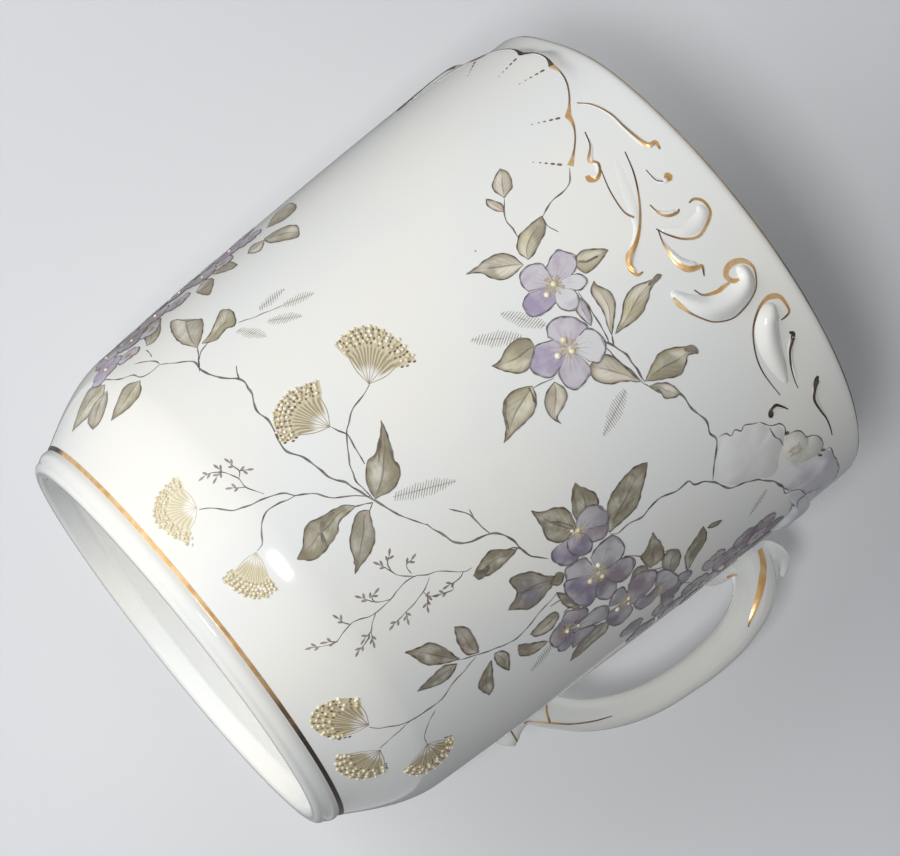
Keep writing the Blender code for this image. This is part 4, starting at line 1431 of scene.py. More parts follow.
# Middle pixel of each blossom, and the tint and outline pixels of each petal.
BLOSSOMS = {
    "upper_spray": (
        ((554, 285), (
            (LILAC, ((529, 292), (521, 284), (521, 273), (530, 265), (541, 264), (547, 271))),
            (LILAC, ((546, 268), (552, 256), (558, 250), (567, 253), (575, 256), (576, 267), (571, 276))),
            (PALE, ((571, 275), (579, 274), (586, 278), (586, 284), (580, 290), (569, 289))),
            (PALE, ((574, 290), (579, 299), (575, 310), (563, 310), (556, 303))),
            (DEEP, ((556, 302), (547, 311), (538, 316), (528, 315), (523, 303), (529, 293))),
        )),
        ((569, 348), (
            (LILAC, ((548, 338), (547, 326), (557, 318), (570, 317), (580, 321), (587, 327), (579, 337))),
            (PALE, ((579, 336), (586, 329), (594, 330), (604, 340), (605, 350), (600, 362), (588, 361))),
            (LILAC, ((585, 361), (591, 371), (585, 381), (577, 389), (568, 388), (559, 375), (561, 365))),
            (DEEP, ((553, 340), (536, 346), (533, 355), (530, 367), (537, 375), (551, 377), (561, 366))),
        )),
    ),
    "lower_spray": (
        ((567, 629), (
            (ASH, ((574, 634), (580, 629), (596, 625), (590, 633), (580, 642), (572, 648))),
            (DEEP, ((556, 645), (560, 651), (567, 648), (572, 642), (574, 634))),
            (ROSE, ((560, 622), (556, 628), (551, 635), (550, 642), (556, 647), (566, 639))),
            (ROSE, ((561, 622), (566, 612), (577, 609), (586, 608), (586, 615), (575, 621))),
            (MISTY, ((578, 624), (587, 615), (596, 608), (607, 606), (607, 616), (598, 622), (584, 627))),
        )),
        ((624, 602), (
            (ASH, ((608, 612), (607, 622), (617, 625), (626, 618), (632, 610), (630, 604))),
            (MISTY, ((608, 607), (613, 594), (622, 587), (627, 593))),
            (ROSE, ((627, 593), (631, 580), (643, 571), (656, 571), (653, 584), (642, 597), (633, 604))),
        )),
        ((660, 590), (
            (LILAC, ((638, 598), (634, 605), (640, 609), (650, 603), (657, 595))),
            (DEEP, ((676, 588), (684, 582), (691, 574), (689, 570), (680, 574), (674, 580))),
            (ASH, ((645, 598), (655, 588), (668, 580), (680, 581), (676, 592), (660, 604))),
            (MISTY, ((655, 586), (658, 572), (669, 570), (678, 578), (674, 588))),
        )),
        ((577, 532), (
            (DEEP, ((557, 546), (551, 554), (554, 561), (563, 565), (573, 563), (579, 556))),
            (ROSE, ((594, 527), (606, 525), (605, 535), (596, 541), (590, 542))),
            (LILAC, ((576, 524), (578, 516), (587, 507), (597, 505), (603, 509), (608, 515), (606, 524), (593, 527))),
            (DEEP, ((568, 538), (567, 547), (573, 554), (583, 555), (591, 549), (591, 541), (584, 533))),
        )),
        ((598, 573), (
            (LILAC, ((566, 581), (565, 570), (573, 563), (584, 558), (592, 565))),
            (MISTY, ((590, 558), (596, 548), (607, 538), (615, 536), (624, 546), (621, 557), (613, 564))),
            (ROSE, ((612, 565), (620, 559), (630, 557), (635, 562), (630, 573), (622, 581), (610, 581))),
            (ASH, ((616, 582), (615, 592), (607, 599), (597, 597), (595, 587))),
            (DEEP, ((595, 589), (595, 597), (587, 606), (575, 603), (566, 594), (565, 582), (578, 578))),
        )),
    ),
}
# Angle, drop, petal length in mm and tint of the blossoms with plain round petals.
SMALL_BLOSSOMS = {
    "left_spray": (
        (-184.5, 55.2, 1.9, DEEP), (-192, 54.0, 1.9, ASH), (-181.5, 52.8, 1.2, ROSE), (-188, 51.2, 1.8, DUSK),
        (-196, 50.6, 1.8, DEEP), (-184.5, 49.2, 1.3, ASH), (-191.5, 47.6, 1.9, ROSE), (-199, 47.0, 1.8, ASH),
        (-187, 45.4, 1.4, DUSK), (-194.5, 44.0, 1.9, DEEP), (-202, 43.2, 1.6, ROSE), (-190, 41.6, 1.7, ASH),
        (-197.5, 40.4, 1.8, DUSK), (-187.5, 39.4, 1.2, ROSE), (-192.5, 37.6, 1.8, DEEP), (-188.5, 35.4, 1.4, ASH),
        (-197, 35.6, 1.5, ROSE),
    ),
    # The right spray lies at the shaded edge of the cup beside the handle, so its plum and dusk tints are darkened as
    # painted shade.
    "right_spray": (
        (-43.5, 18.0, 1.8, PLUM_AND_SHADE), (-38.5, 16.0, 1.8, DUSK), (-42.5, 14.2, 1.4, ROSE), (-36, 13.2, 1.6, PLUM_AND_SHADE),
        (-34, 17.6, 1.7, PLUM_AND_SHADE), (-37.5, 20.2, 1.8, DUSK), (-42.5, 22.2, 1.6, PLUM_AND_SHADE), (-33.5, 22.2, 1.7, DUSK),
        (-38.5, 24.8, 1.8, PLUM_AND_SHADE), (-44, 26.4, 1.6, DUSK), (-38.5, 28.8, 1.7, PLUM_AND_SHADE), (-45.5, 30.2, 1.5, ASH),
        (-46.5, 15.6, 1.7, PLUM_AND_SHADE), (-41.0, 11.8, 1.3, PLUM_AND_SHADE), (-48, 19.6, 1.4, ROSE), (-46.5, 12.8, 1.3, DUSK),
    ),
}
# Pixel, or angle and drop, and the radius in mm of the raised beads on the blossoms.
BLOSSOM_BEADS = {
    "upper_spray": ((554, 284, 0.36), (547, 295, 0.32), (564, 340, 0.34), (558, 356, 0.36), (572, 351, 0.36)),
    "lower_spray": (
        (572, 531, 0.22), (578, 530, 0.26), (598, 565, 0.30), (590, 581, 0.32), (602, 576, 0.28),
        (628, 598, 0.26), (617, 609, 0.30), (567, 631, 0.26), (578, 625, 0.20), (628, 603, 0.20),
    ),
    "left_spray": (
        (-184.5, 55.2, 0.24), (-192, 54.0, 0.2), (-188, 51.2, 0.2), (-191.5, 47.6, 0.22), (-194.5, 44.0, 0.2),
        (-190, 41.6, 0.2), (-192.5, 37.6, 0.22),
    ),
}

# %% Petals, stamens and beads
STAMEN_TAN = (0.46, 0.35, 0.19, 1)
# The lower spray's petals are darkened partly as painted shade, for it lies at the shaded edge of the cup by the
# handle.
PETAL_SHARES_WITH_SHADE = {"lower_spray": 0.60}
STAMENS = 14
STAMEN_LINE = ((0.35, 0.04), (0.75, 0.06), (0.92, 0.17), (1.05, 0.06))  # reach, and width in mm
PETAL_LENGTHS = 12
PETAL_ROWS = 21
PETAL_LIFT = 0.045 * MM
# Share along and across a plain round petal of the places round its outline.
ROUND_MM = np.array([math.degrees(MM / SHEET_RADIUS), 1.0])  # degrees round the wall and drop of a millimetre
ROUND_PETAL = ((0.45, -0.45), (0.72, -0.52), (0.96, -0.30), (1.0, 0.0), (0.93, 0.33), (0.72, 0.52), (0.45, 0.42))


def petal(tint, middle, outline, lift):
    """A fan from the middle of a blossom to the outline of one petal."""
    edge = spread(outline, PETAL_ROWS)
    ripple = 1 + 0.03 * np.sin(np.linspace(0, 22, PETAL_ROWS) + dice.uniform(0, 6))
    reach = np.linspace(0.06, 1, PETAL_LENGTHS)[None] * ripple[:, None]
    sheet = place_of(middle) + reach[..., None] * (edge[:, None] - place_of(middle))
    return tinted(placed_grid("petal", laid(facing_out(sheet), lift)), tint)


def round_blossom(angle, drop, length, tint):
    """Five plain round petals, each turned and tinted a little by chance."""
    petals = []
    start = dice.uniform(0, 6)
    for place in range(5):
        heading = start + 2 * math.pi * place / 5 + dice.uniform(-0.2, 0.2)
        axis = np.array([math.cos(heading), math.sin(heading)]) * length * dice.uniform(0.7, 1.2)
        shade = dice.uniform(0.75, 1.25)
        side = np.array([-axis[1], axis[0]])
        tone = [value * shade for value in tint[:3]] + [1]
        outline = [(angle, drop) + (axis * along + side * across) * ROUND_MM for along, across in ROUND_PETAL]
        petals.append((tone, outline))
    return (angle, drop), petals


def stamens(pixel, ring):
    """A ring of short strokes that end in dots, with its radius in mm."""
    middle = place_of(pixel)
    strokes = []
    for place in range(STAMENS):
        heading = 2 * math.pi * place / STAMENS + dice.uniform(-0.15, 0.15)
        tip = middle + ring * MM * dice.uniform(0.75, 1.2) * np.array([math.cos(heading), math.sin(heading)])
        line = np.array([(*(middle + (tip - middle) * reach), width * MM) for reach, width in STAMEN_LINE])
        strokes.append(pen("stamen", line, STAMEN_TAN, PETAL_LIFT + LAYER * 22))
    return strokes


for spray, rows in SMALL_BLOSSOMS.items():
    BLOSSOMS[spray] = tuple(round_blossom(*row) for row in rows)
beads = {}
for spray, blossoms in BLOSSOMS.items():
    parts, lines = [], []
    ring = 0.35 if spray in SMALL_BLOSSOMS else 0.85
    for order, (middle, petals) in enumerate(blossoms):
        for place, (tint, outline) in enumerate(petals):
            lift = PETAL_LIFT + LAYER * (5 * (order % 4) + place)
            parts.append(petal(np.array(tint) * PETAL_SHARES_WITH_SHADE.get(spray, 1.0), middle, outline, lift))
            lines.append(ink(spray, outline, PEN_VIOLET, lift))
        lines += stamens(middle, ring)
    beads[spray] = [(place_of(row), row[2] * MM) for row in BLOSSOM_BEADS.get(spray, ())]
    spray_pieces[spray + "_blossoms"] = (joined(spray + "_blossoms", parts), lilac_enamel, "lilac_enamel")
    spray_pieces[spray + "_stamens"] = (joined(spray + "_stamens", lines), pen_line, "leaf_enamel")

# %% [markdown]
# ## Branches, twigs and ferns
#
# A branch is a pen line that swells and thins as the pen turns, so its width wanders a little along the
# way. The buds at the ends of the twigs are short drops of the brush. Ferns in the background are
# only hatched: short parallel strokes that shorten towards the tip.

# %% Lines of the branches
BRANCH = 0.19
STEM = 0.135
TWIG = 0.095
STEM_BROWN = (0.115, 0.10, 0.088, 1)
BUD_BROWN = (0.26, 0.21, 0.20, 1)
FOLD_BROWN = (0.15, 0.12, 0.085, 1)
HATCH_GREY = (0.34, 0.31, 0.27, 1)

# Pixels along each line, and the width in mm.
STEMS = {
    "upper_spray": (
        (((504, 199), (504, 215), (511, 227), (519, 238)), STEM),
        (((570, 168), (570, 181), (564, 191), (553, 200), (547, 208), (542, 217)), STEM),
        (((543, 219), (549, 227), (559, 232)), TWIG),
        (((578, 292), (590, 309), (602, 328), (609, 344)), STEM),
        (((612, 335), (614, 346)), STEM),
        (((603, 341), (614, 346), (626, 355), (634, 365), (645, 382)), BRANCH),
        (((604, 346), (616, 358), (632, 372), (645, 384)), STEM),
        (((645, 384), (660, 392), (681, 394), (691, 408), (706, 421), (710, 433), (717, 442), (714, 465),
            (713, 480)), BRANCH),
        (((554, 378), (545, 382), (532, 389)), TWIG),
    ),
    "lower_spray": (
        (((426, 524), (440, 533), (453, 541), (470, 542), (489, 534), (501, 534), (512, 540), (521, 549),
            (531, 556), (548, 559)), BRANCH),
        (((489, 533), (469, 515), (449, 509)), STEM),
        (((475, 520), (469, 509)), TWIG),
        (((610, 534), (618, 533), (627, 525), (642, 517), (650, 507), (661, 497), (676, 491), (688, 481),
            (695, 484), (707, 481), (719, 484), (730, 488), (741, 484), (756, 480), (772, 481), (784, 488),
            (792, 490)), BRANCH),
        (((667, 574), (678, 581), (691, 583)), TWIG),
        (((557, 593), (547, 604), (537, 615), (527, 628), (514, 640), (497, 648), (478, 654), (458, 660)), STEM),
        (((521, 548), (513, 548), (503, 550)), STEM),
        (((624, 556), (634, 556), (642, 556)), STEM),
        (((549, 576), (556, 577), (562, 580)), TWIG),
    ),
    "centre_spray": (
        (((160, 365), (177, 363), (194, 362), (201, 370), (221, 378), (239, 379), (250, 390), (257, 411),
            (268, 420), (275, 431), (285, 451), (304, 458), (328, 476), (348, 484), (373, 500), (391, 510),
            (407, 518), (427, 525)), BRANCH),
        (((239, 379), (236, 366)), STEM),
        (((369, 384), (362, 397), (353, 409), (348, 424), (346, 433), (348, 453), (355, 479), (373, 498)), STEM),
        (((330, 427), (346, 434), (351, 440), (365, 464)), STEM),
        (((373, 502), (363, 505), (355, 507)), STEM),
        (((373, 503), (369, 511)), STEM),
        (((370, 497), (356, 496), (341, 497), (329, 497), (311, 493), (295, 496), (283, 493), (265, 498),
            (250, 505), (233, 510), (214, 508), (199, 509)), STEM),
        (((295, 496), (280, 503), (267, 511), (262, 522), (261, 533), (262, 545), (257, 551)), STEM),
    ),
    "foot_spray": (
        (((476, 657), (454, 682), (440, 700), (419, 716), (401, 724), (380, 728), (369, 727)), STEM),
        (((443, 699), (423, 713), (407, 724), (384, 744), (379, 749)), TWIG),
        (((435, 710), (429, 721), (425, 735), (426, 744)), TWIG),
    ),
    "left_spray": (
        (((102, 381), (119, 379), (133, 375), (140, 377), (149, 374), (160, 365)), STEM),
        (((134, 364), (152, 361), (160, 364)), STEM),
        (((152, 357), (146, 350)), TWIG),
        (((200, 372), (199, 360), (197, 348)), STEM),
        (((199, 360), (202, 350), (208, 343)), STEM),
        (((238, 323), (255, 317), (283, 305)), TWIG),
    ),
}
# Shaded folds on the leaves: pixels along each and its width in mm.
FOLDS = {
    "centre_spray": (
        (((334, 513), (325, 520), (321, 528), (322, 536), (326, 546)), 0.34),
        (((379, 441), (377, 452), (370, 461)), 0.20), (((391, 448), (394, 460), (399, 467)), 0.22),
        (((382, 428), (380, 445), (379, 462)), 0.12), (((355, 560), (357, 566)), 0.45),
    ),
    "lower_spray": (
        (((574, 526), (560, 522), (549, 523)), 0.14), (((612, 520), (622, 510), (634, 497)), 0.20),
        (((517, 593), (530, 590), (545, 584)), 0.10), (((489, 566), (482, 573), (475, 576)), 0.75), (((574, 487),
            (574, 500), (577, 514)), 0.16),
        (((550, 607), (562, 600), (575, 604)), 0.14), (((563, 612), (572, 606), (588, 606)), 0.14),
        (((640, 575), (652, 570), (665, 566), (672, 558)), 0.09), (((655, 590), (668, 583), (682, 581)), 0.10),
        (((664, 551), (674, 550), (675, 560), (668, 567)), 0.08),
    ),
    "upper_spray": (
        (((528, 388), (532, 395), (534, 403)), 0.24), (((684, 350), (691, 348), (695, 350), (697, 354)), 0.52),
        (((648, 285), (655, 279), (661, 275)), 0.40),
        (((505, 400), (505, 415), (508, 430)), 0.22), (((578, 262), (588, 262), (598, 256)), 0.20),
    ),
}
# Fine twigs with a bud at the end of each line.
BUD_TWIGS = {
    "centre_spray": (
        ((472, 568), (463, 571), (439, 571), (428, 575), (416, 576), (406, 582), (397, 591), (391, 599),
            (376, 613), (360, 619), (351, 624), (343, 633), (338, 640), (330, 645), (313, 647)),
        ((416, 576), (399, 576), (391, 571), (385, 567), (380, 565)),
        ((391, 571), (387, 564), (389, 556)),
        ((411, 574), (407, 569), (406, 564), (411, 560)),
        ((429, 577), (427, 585), (423, 592), (415, 603), (406, 611), (401, 617), (394, 624)),
        ((423, 592), (427, 598), (427, 606)),
        ((425, 596), (431, 596)),
        ((406, 611), (407, 618)),
        ((463, 571), (460, 578), (449, 585)),
        ((452, 584), (453, 590), (441, 594)),
        ((391, 599), (382, 602), (374, 602), (371, 597), (374, 594)),
        ((374, 602), (366, 600), (362, 598)),
        ((376, 613), (372, 622), (371, 632), (365, 638)),
        ((371, 632), (373, 641)),
        ((368, 638), (364, 644), (359, 650)),
        ((351, 624), (343, 622), (339, 619)),
        ((338, 642), (328, 642)),
        ((264, 494), (246, 487), (239, 479), (230, 475), (223, 472), (211, 473), (205, 476)),
        ((239, 479), (239, 471), (230, 463)),
        ((239, 471), (246, 470)),
        ((246, 487), (233, 488)),
        ((221, 472), (217, 477)),
        ((223, 472), (219, 469)),
    ),
}
# Base pixel, tip pixel and half width in mm.
FERNS = {
    "upper_spray": (((545, 326), (500, 313), 0.75), ((522, 338), (470, 340), 0.75), ((626, 390), (603, 436), 0.7)),
    "lower_spray": (((556, 640), (530, 672), 0.6), ((767, 489), (749, 516), 0.45)),
    "centre_spray": (((393, 497), (456, 481), 0.75),),
    "left_spray": (((259, 309), (285, 289), 0.6), ((283, 305), (315, 293), 0.6), ((268, 321), (303, 316), 0.6),
        ((238, 330), (267, 337), 0.6)),
}

# %% Draw the branches, twigs and ferns
LINE_LIFT = 0.012 * MM
HATCH_LIFT = 0.008 * MM
# Degrees off the twig, millimetres back from its end, and length of the drops of a bud.
BUD_REACHES = (-0.05, 0.2, 0.5, 0.8, 1.0)
BUD_WIDTHS = (0.05, 0.14, 0.25, 0.19, 0.05)  # mm
BUD_DROPS = ((8, 0.0, 0.75), (-38, 0.30, 0.62), (42, 0.55, 0.58))


def bud(pixels):
    """Drop-shaped strokes that fan out at the end of a twig."""
    start, end = sheet_at(pixels[-2]), sheet_at(pixels[-1])
    ahead = (end - start) / np.linalg.norm(end - start)
    drops = []
    for degrees, back, length in BUD_DROPS:
        turn = math.radians(degrees + dice.uniform(-10, 10))
        cosine, sine = math.cos(turn), math.sin(turn)
        way = np.array([ahead[0] * cosine - ahead[1] * sine, ahead[0] * sine + ahead[1] * cosine])
        places = [end - ahead * back * MM + way * reach * length * MM for reach in BUD_REACHES]
        drops.append(np.column_stack([places, np.array(BUD_WIDTHS) * MM]))
    return drops


def hatching(base, tip, half_width):
    """Short strokes across the line from base to tip, shorter towards the tip."""
    start, end = sheet_at(base), sheet_at(tip)
    axis = end - start
    length = np.linalg.norm(axis)
    side = np.array([-axis[1], axis[0]]) / length + 0.45 * axis / length
    rib = np.array([start, (start + end) / 2, end])
    strokes = [np.column_stack([rib, np.array([0.05, 0.07, 0.04]) * MM])]
    for share in np.arange(0.04, 0.98, 0.26 * MM / length):
        half = half_width * MM * math.sin(math.pi * (0.10 + 0.88 * share)) ** 0.8 * dice.uniform(0.85, 1.15)
        middle = start + axis * share
        ends = [middle - side * half, middle, middle + side * half]
        strokes.append(np.column_stack([ends, np.array([0.05, 0.10, 0.05]) * MM]))
    return strokes


for spray, stems in STEMS.items():
    parts = [pen("stem", drawn_line(pixels, width), STEM_BROWN, LINE_LIFT) for pixels, width in stems]
    for pixels in BUD_TWIGS.get(spray, ()):
        parts.append(pen("twig", drawn_line(pixels, TWIG), STEM_BROWN, LINE_LIFT))
        parts += [pen("bud", drop, BUD_BROWN, LINE_LIFT) for drop in bud(pixels)]
    for pixels, width in FOLDS.get(spray, ()):
        parts.append(pen("fold", drawn_line(pixels, width), FOLD_BROWN, PETAL_LIFT - LAYER))
    for row in FERNS.get(spray, ()):
        parts += [pen("hatch", line, HATCH_GREY, HATCH_LIFT) for line in hatching(*row)]
    spray_pieces[spray + "_lines"] = (joined(spray + "_lines", parts), pen_line, "leaf_enamel")

# %% [markdown]
# ## Flat-topped flower heads
#
# Each head is a fan from one joint: pale at the joint, striped with ochre further out, and brown under a
# crown of tiny raised beads. A curved ray edges it on both sides. The fan is given by its joint, by the
# left, middle and right of its crown, and by the strength of its paint. Two heads are paled towards pale
# gold as a painted highlight.

# %% Heads with wash, rays and beads
HEADS = {
    "centre_spray": (
        ((369, 384), (334, 345), (373, 327), (416, 360), 1.0),
        ((330, 427), (319, 380), (277, 405), (283, 443), 1.0),
        ((197, 508), (178, 476), (154, 514), (189, 545), 0.42),
        ((256, 552), (276, 588), (252, 597), (222, 579), 0.55),
    ),
    "foot_spray": (
        ((369, 725), (355, 689), (312, 714), (325, 744), 1.0),
        ((380, 750), (324, 755), (349, 777), (387, 776), 1.0),
        ((427, 744), (394, 777), (434, 768), (461, 735), 1.0),
    ),
}
RAY_BROWN = (0.36, 0.29, 0.20, 1)
# Brown of the dots in the gaps between a crown's raised beads: partly paint and partly painted shadow between the
# beads.
BEAD_GAP_BROWN_AND_SHADE = (0.13, 0.09, 0.065, 1)
# Pale gold towards which two heads are paled, as a painted highlight.
HIGHLIGHT_PALE_GOLD = (0.80, 0.73, 0.50)
CONE = 0.93  # share of the crown's width that the fan under it takes
CREAM_CROWN = (0.64, 0.58, 0.42, 1)
OCHRE_CROWN = (0.64, 0.56, 0.36, 1)
# Tint of the crown, the reach and number of beads in each of its rows, the width in mm and the least and
# most reach of its rays, and how far its corners are rounded off.
CROWNS = {
    "centre_spray": (CREAM_CROWN, ((1.0, 12), (0.92, 12), (0.84, 11), (0.75, 10)), (0.06, 0.50, 0.64), 0.0),
    "foot_spray": (OCHRE_CROWN, ((1.0, 9), (0.90, 9), (0.79, 8), (0.68, 6)), (0.15, 0.62, 0.86), 0.26),
}
RAYS = 7
FAN_COLUMNS = 25
FAN_ROWS = 12
DOT_MARK = ((-0.7, 0.3), (0, 1), (0.7, 0.3))  # step and width, as shares of the dot
CROWN_DOT = 0.24 * MM
WASH_LIFT = 0.007 * MM


def paled_by_highlight(tint, strength):
    """A tint that is paled towards pale gold as a painted highlight where its strength is below one, with its strength
    as the fourth value.
    """
    return np.append(strength * np.array(tint[:3]) + (1 - strength) * np.array(HIGHLIGHT_PALE_GOLD), strength)


def head(joint, left, top, right, strength, rows, ray_shape, rounding):
    """The parts of one head: its wash, its pen lines and the places of its beads."""
    foot, low, middle, high = (sheet_at(pixel) for pixel in (joint, left, top, right))
    control = 2 * middle - (low + high) / 2

    def crown(share):
        return (1 - share) ** 2 * low + 2 * share * (1 - share) * control + share**2 * high

    def reached(share, reach):
        return foot + reach * (1 - rounding * abs(2 * share - 1) ** 3 * reach) * (crown(share) - foot)

    depth = np.linspace(0.04, 1.0, FAN_ROWS)
    flare = CONE + (1 - CONE) * eased(depth, 0.58, 0.70)
    sides = np.linspace(-0.5, 0.5, FAN_COLUMNS)
    fan = np.array([[reached(0.5 + side * wide, reach) for reach, wide in zip(depth, flare)] for side in sides])
    wide_way, long_way = high - low, middle - foot
    turn = wide_way[0] * long_way[1] - wide_way[1] * long_way[0]
    wash = placed_grid("wash", laid(fan[::-1] if turn > 0 else fan, WASH_LIFT))
    lines = []
    ray_width, ray_short, ray_long = ray_shape
    for share in np.linspace(0.0, 1.0, RAYS):
        edge = share in (0.0, 1.0)
        end = reached(0.5 + (share - 0.5) * CONE, ray_long if edge else dice.uniform(ray_short, ray_long))
        bulge = (crown(share) - crown(0.5)) * 0.05
        width = 0.09 if edge else ray_width
        ray = [(*foot, 0.06 * MM), (*((foot + end) / 2 + bulge), width * MM), (*end, width * MM)]
        lines.append(pen("ray", flowing(ray, LINE_STEP), paled_by_highlight(RAY_BROWN, strength), LINE_LIFT))
    places = []
    for order, (reach, count) in enumerate(rows):
        for share in np.linspace(0.03 + 0.02 * (order % 2), 0.97 - 0.02 * (order % 2), count):
            share = share + dice.uniform(-0.015, 0.015)
            place = reached(share, reach + dice.uniform(-0.02, 0.02))
            places.append((place, dice.uniform(0.14, 0.23) * MM))
            # A dot darkens the gap to the next bead: partly brown paint and partly painted shadow between the raised
            # beads.
            between = reached(share + 0.5 / count, reach - 0.04)
            out = (between - foot) / np.linalg.norm(between - foot) * CROWN_DOT
            mark = [(*(between + out * step), CROWN_DOT * width) for step, width in DOT_MARK]
            lines.append(pen("dot", np.array(mark), paled_by_highlight(BEAD_GAP_BROWN_AND_SHADE, strength), LINE_LIFT + LAYER))
    return wash, lines, places


for spray, heads in HEADS.items():
    washes, lines = [], []
    beads.setdefault(spray, [])
    for row in heads:
        wash, drawn, places = head(*row, *CROWNS[spray][1:])
        washes.append(tinted(wash, paled_by_highlight(CROWNS[spray][0], row[4])))
        lines += drawn
        beads[spray] += places
    spray_pieces[spray + "_head_washes"] = (joined(spray + "_head_washes", washes), crown_wash, "leaf_enamel")
    spray_pieces[spray + "_head_rays"] = (joined(spray + "_head_rays", lines), pen_line, "leaf_enamel")

# %% [markdown]
# ## Raised beads
#
# The beads are drops of thick enamel. One small dome is modelled, and its points are copied to every
# place, turned so that each dome stands out from the wall.

# %% Copy the dome to every place
BEAD_HEIGHT = 0.7

bpy.ops.object.select_all(action="DESELECT")
bpy.ops.mesh.primitive_uv_sphere_add(segments=8, ring_count=4, radius=1)
dome = bpy.context.object
dome_points = np.array([vertex.co for vertex in dome.data.vertices])
dome_faces = [list(polygon.vertices) for polygon in dome.data.polygons]
bpy.data.objects.remove(dome)


def studded(name, places):
    """One mesh of domes at sheet places with their radii."""
    corners, faces = [], []
    for sheet, radius in places:
        out = rolled(sheet, 0.0) - (AXIS_X, 0, sheet[1])
        out = out / np.linalg.norm(out)
        side = np.array([-out[1], out[0], 0])
        turn = np.stack([side, np.array([0, 0, 1.0]), out], axis=1)
        middle = laid(np.array([sheet]), PETAL_LIFT)[0]
        faces += [[len(corners) * len(dome_points) + i for i in face] for face in dome_faces]
        corners.append(middle + (dome_points * (radius, radius, radius * BEAD_HEIGHT)) @ turn.T)
    mesh = bpy.data.meshes.new(name)
    mesh.from_pydata(np.vstack(corners), [], faces)
    piece = bpy.data.objects.new(name, mesh)
    bpy.context.scene.collection.objects.link(piece)
    return joined(name, [piece])


for spray, places in beads.items():
    if places:
        spray_pieces[spray + "_beads"] = (studded(spray + "_beads", places), raised_bead, "gilding")

# %% [markdown]
# ## The side away from the picture
#
# The picture shows one side only. Such cups carry the same sprays on both sides of the handle, so the
# sprays near the handle are copied across its plane. Those at the far side, opposite the handle, would run
# into each other there and are painted once.

# %% Copy the sprays to the back
BACK_SPRAYS = ("upper_spray", "lower_spray", "right_spray", "foot_spray")

for name, (piece, material, slot) in list(spray_pieces.items()):
    if name.startswith(BACK_SPRAYS):
        finish_piece(mirrored(piece, name + "_back", BACK_TURN), material, slot)
    finish_piece(piece, material, slot)

# %% [markdown]
# ## Lines on the relief blossom
#
# The petals of the relief blossom are edged with thin dark pen lines and a few dark spots where the petals
# meet, with a small tan rosette in the heart. The relief stands out from the wall, so these are found where
# the camera's ray meets it.

# %% Petal edges and rosette
EDGE_LINE = 0.11
EDGE_DARK = (0.065, 0.055, 0.05, 1)
PETAL_EDGES = (
    ((719, 437), (726, 433), (731, 436), (735, 430), (741, 431), (744, 425), (752, 424), (759, 422)),
    ((769, 428), (774, 436), (780, 439), (783, 446)),
    ((760, 422), (771, 425), (780, 423), (785, 428), (785, 436)),
    ((788, 434), (796, 431), (802, 432), (807, 437), (814, 435), (820, 438), (823, 443), (822, 449)),
    ((825, 450), (830, 448), (834, 455), (838, 463), (-42, 3.0), (-37.5, 3.4), (-35, 5.0)),
    ((771, 481), (782, 485), (785, 493), (792, 491), (800, 490), (806, 494), (813, 490), (821, 487)),
    ((806, 494), (798, 501), (789, 512), (778, 523)),
)
# Pixel and size in mm of the dark spots along the edges, where the petals meet.
PETAL_DOTS = ((787, 433, 0.50), (823, 450, 0.42), (820, 455, 0.30))


def relief_spot(spot):
    """Angle and drop of the porcelain that is seen at a pixel, relief and all."""
    if spot[0] < 0:
        return spot
    hit = wall_tree.ray_cast(Vector(EYE), Vector(sight(spot)))[0]
    if hit is None:
        return spot
    angle = math.degrees(math.atan2(hit.y, hit.x - AXIS_X))
    return angle, (CUP_HEIGHT - hit.z) / MM


def dot(x, y, size):
    places = [place_of(relief_spot((x + shift, y))) for shift in (-2, 0, 2)]
    return pen("dot", np.column_stack([places, np.array([0.4, 1, 0.4]) * size * MM]), EDGE_DARK, GILT_LIFT)


edge_parts = [
    pen("edge", drawn_line([relief_spot(spot) for spot in spots], EDGE_LINE), EDGE_DARK, GILT_LIFT)
    for spots in PETAL_EDGES
]
edge_parts += [dot(*row) for row in PETAL_DOTS] + stamens(relief_spot((796, 450)), 0.75)
blossom_lines = joined("relief_blossom_lines_front", edge_parts)
finish_piece(mirrored(blossom_lines, "relief_blossom_lines_back", BACK_TURN), pen_line, "leaf_enamel")
finish_piece(blossom_lines, pen_line, "leaf_enamel")

# %% [markdown]
# ## Floor and light
#
# The cup is seen lying down, so the floor of the picture is a pale plane along its far side. It is clear
# from behind, so it hides nothing in other views. The real cup lay on dark cloth, so the floors take the
# cup's shadow but throw no light back, which leaves its edges in shade. A second pale floor under the foot
# serves the views from above. A window-like softbox gives the highlight, a wide one the soft shading, and the
# world the rest. Two more softboxes light only what the picture doesn't show: the far side and the top.

# %% Floors
FLOOR_PALE = (0.70, 0.71, 0.73, 1)
FLOOR_SIZE = 3.0
REST_GAP = 31.6 * MM


def floor_material(name):
    material, tree, shader = new_material(name)
    shader["Roughness"].default_value = 0.8
    shader["Base Color"].default_value = FLOOR_PALE
    clear = tree.nodes.new("ShaderNodeBsdfTransparent")
    either = tree.nodes.new("ShaderNodeMixShader")
    behind = tree.nodes.new("ShaderNodeNewGeometry").outputs["Backfacing"]
    feed(tree, either.inputs, (behind, tree.nodes["Principled BSDF"].outputs[0], clear.outputs[0]))
    tree.links.new(either.outputs[0], tree.nodes["Material Output"].inputs["Surface"])
    return material


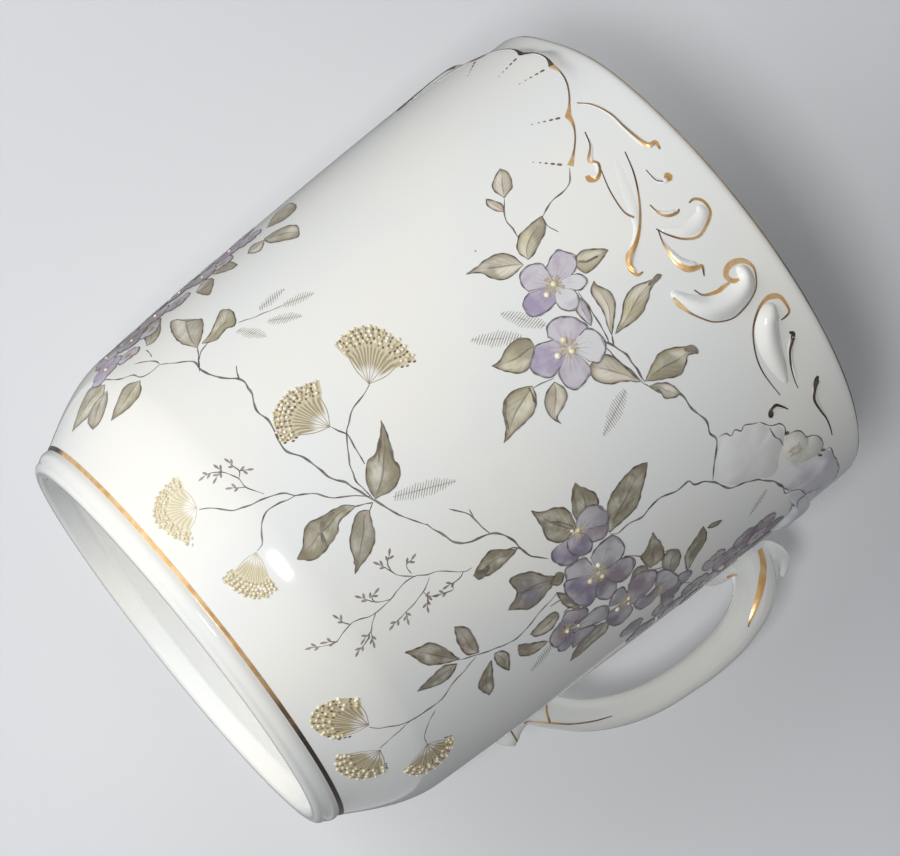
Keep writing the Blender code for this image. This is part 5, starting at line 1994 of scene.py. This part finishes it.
facing = Vector((math.cos(CAMERA_TURN), math.sin(CAMERA_TURN), 0))
bpy.ops.mesh.primitive_plane_add(size=FLOOR_SIZE)
lying_floor = bpy.context.object
lying_floor.name = "lying_floor"
floor_turn = facing.to_track_quat("Z", "Y").to_matrix().to_4x4()
lying_floor.matrix_world = Matrix.Translation(Vector((AXIS_X, 0, 0)) - facing * REST_GAP) @ floor_turn
lying_floor.data.materials.append(floor_material("lying_floor_pale"))
bpy.ops.mesh.primitive_plane_add(size=FLOOR_SIZE)
standing_floor = bpy.context.object
standing_floor.name = "standing_floor"
standing_floor.data.materials.append(floor_material("standing_floor_pale"))
for floor in (lying_floor, standing_floor):
    floor.visible_shadow = floor.visible_diffuse = False
lying_floor.visible_glossy = False
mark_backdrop(lying_floor, standing_floor)

# %% Lamps and world
WORLD_LIGHT = (0.95, 0.97, 1.0, 1)
WORLD_STRENGTH = 0.24


def softbox(name, way, distance, width, height, power):
    """An area lamp in a direction given along the picture's right, up and towards the camera."""
    heading = Vector(RIGHT * way[0] + UP * way[1] + BACKWARD * way[2]).normalized()
    bpy.ops.object.light_add(type="AREA")
    lamp = bpy.context.object
    lamp.name = name
    lamp.data.shape = "RECTANGLE"
    lamp.data.size = width
    lamp.data.size_y = height
    lamp.data.energy = power
    lamp_turn = heading.to_track_quat("Z", "Y").to_matrix().to_4x4()
    lamp.matrix_world = Matrix.Translation(AIM + heading * distance) @ lamp_turn
    return lamp


softbox("window", (-0.127, -0.115, 0.985), 0.55, 0.10, 0.07, 1.05)
softbox("wide_softbox", (-0.75, 0.15, 0.65), 0.40, 0.35, 0.35, 1.25)
far_softbox = softbox("far_side", (0.0, 0.0, -1.0), 0.60, 0.22, 0.22, 2.1)
top_softbox = softbox("top", (0.62, 0.49, -0.61), 0.60, 0.30, 0.30, 1.5)
for lamp in (far_softbox, top_softbox):
    lamp.visible_glossy = False

world = bpy.data.worlds.new("studio")
world.use_nodes = True
bpy.context.scene.world = world
tree = world.node_tree
shown = tree.nodes.new("ShaderNodeBackground")
shown.inputs["Color"].default_value = FLOOR_PALE
light = tree.nodes["Background"]
light.inputs["Color"].default_value = WORLD_LIGHT
light.inputs["Strength"].default_value = WORLD_STRENGTH
chosen = tree.nodes.new("ShaderNodeMixShader")
seen = tree.nodes.new("ShaderNodeLightPath").outputs["Is Camera Ray"]
feed(tree, chosen.inputs, (seen, light.outputs[0], shown.outputs[0]))
tree.links.new(chosen.outputs[0], tree.nodes["World Output"].inputs["Surface"])
bpy.context.scene.view_settings.view_transform = "Standard"

# %% [markdown]
# ## Hand over
#
# The box of the dressed cup is kept beside the box of the CAD part, so that the two can be compared.

# %% Boxes and finish
seen_box = [list(corner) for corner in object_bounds()]
for label, box in (("CAD box", cad_box), ("visual box", seen_box)):
    print(label, np.round(np.array(box) / MM, 2).tolist(), "mm")
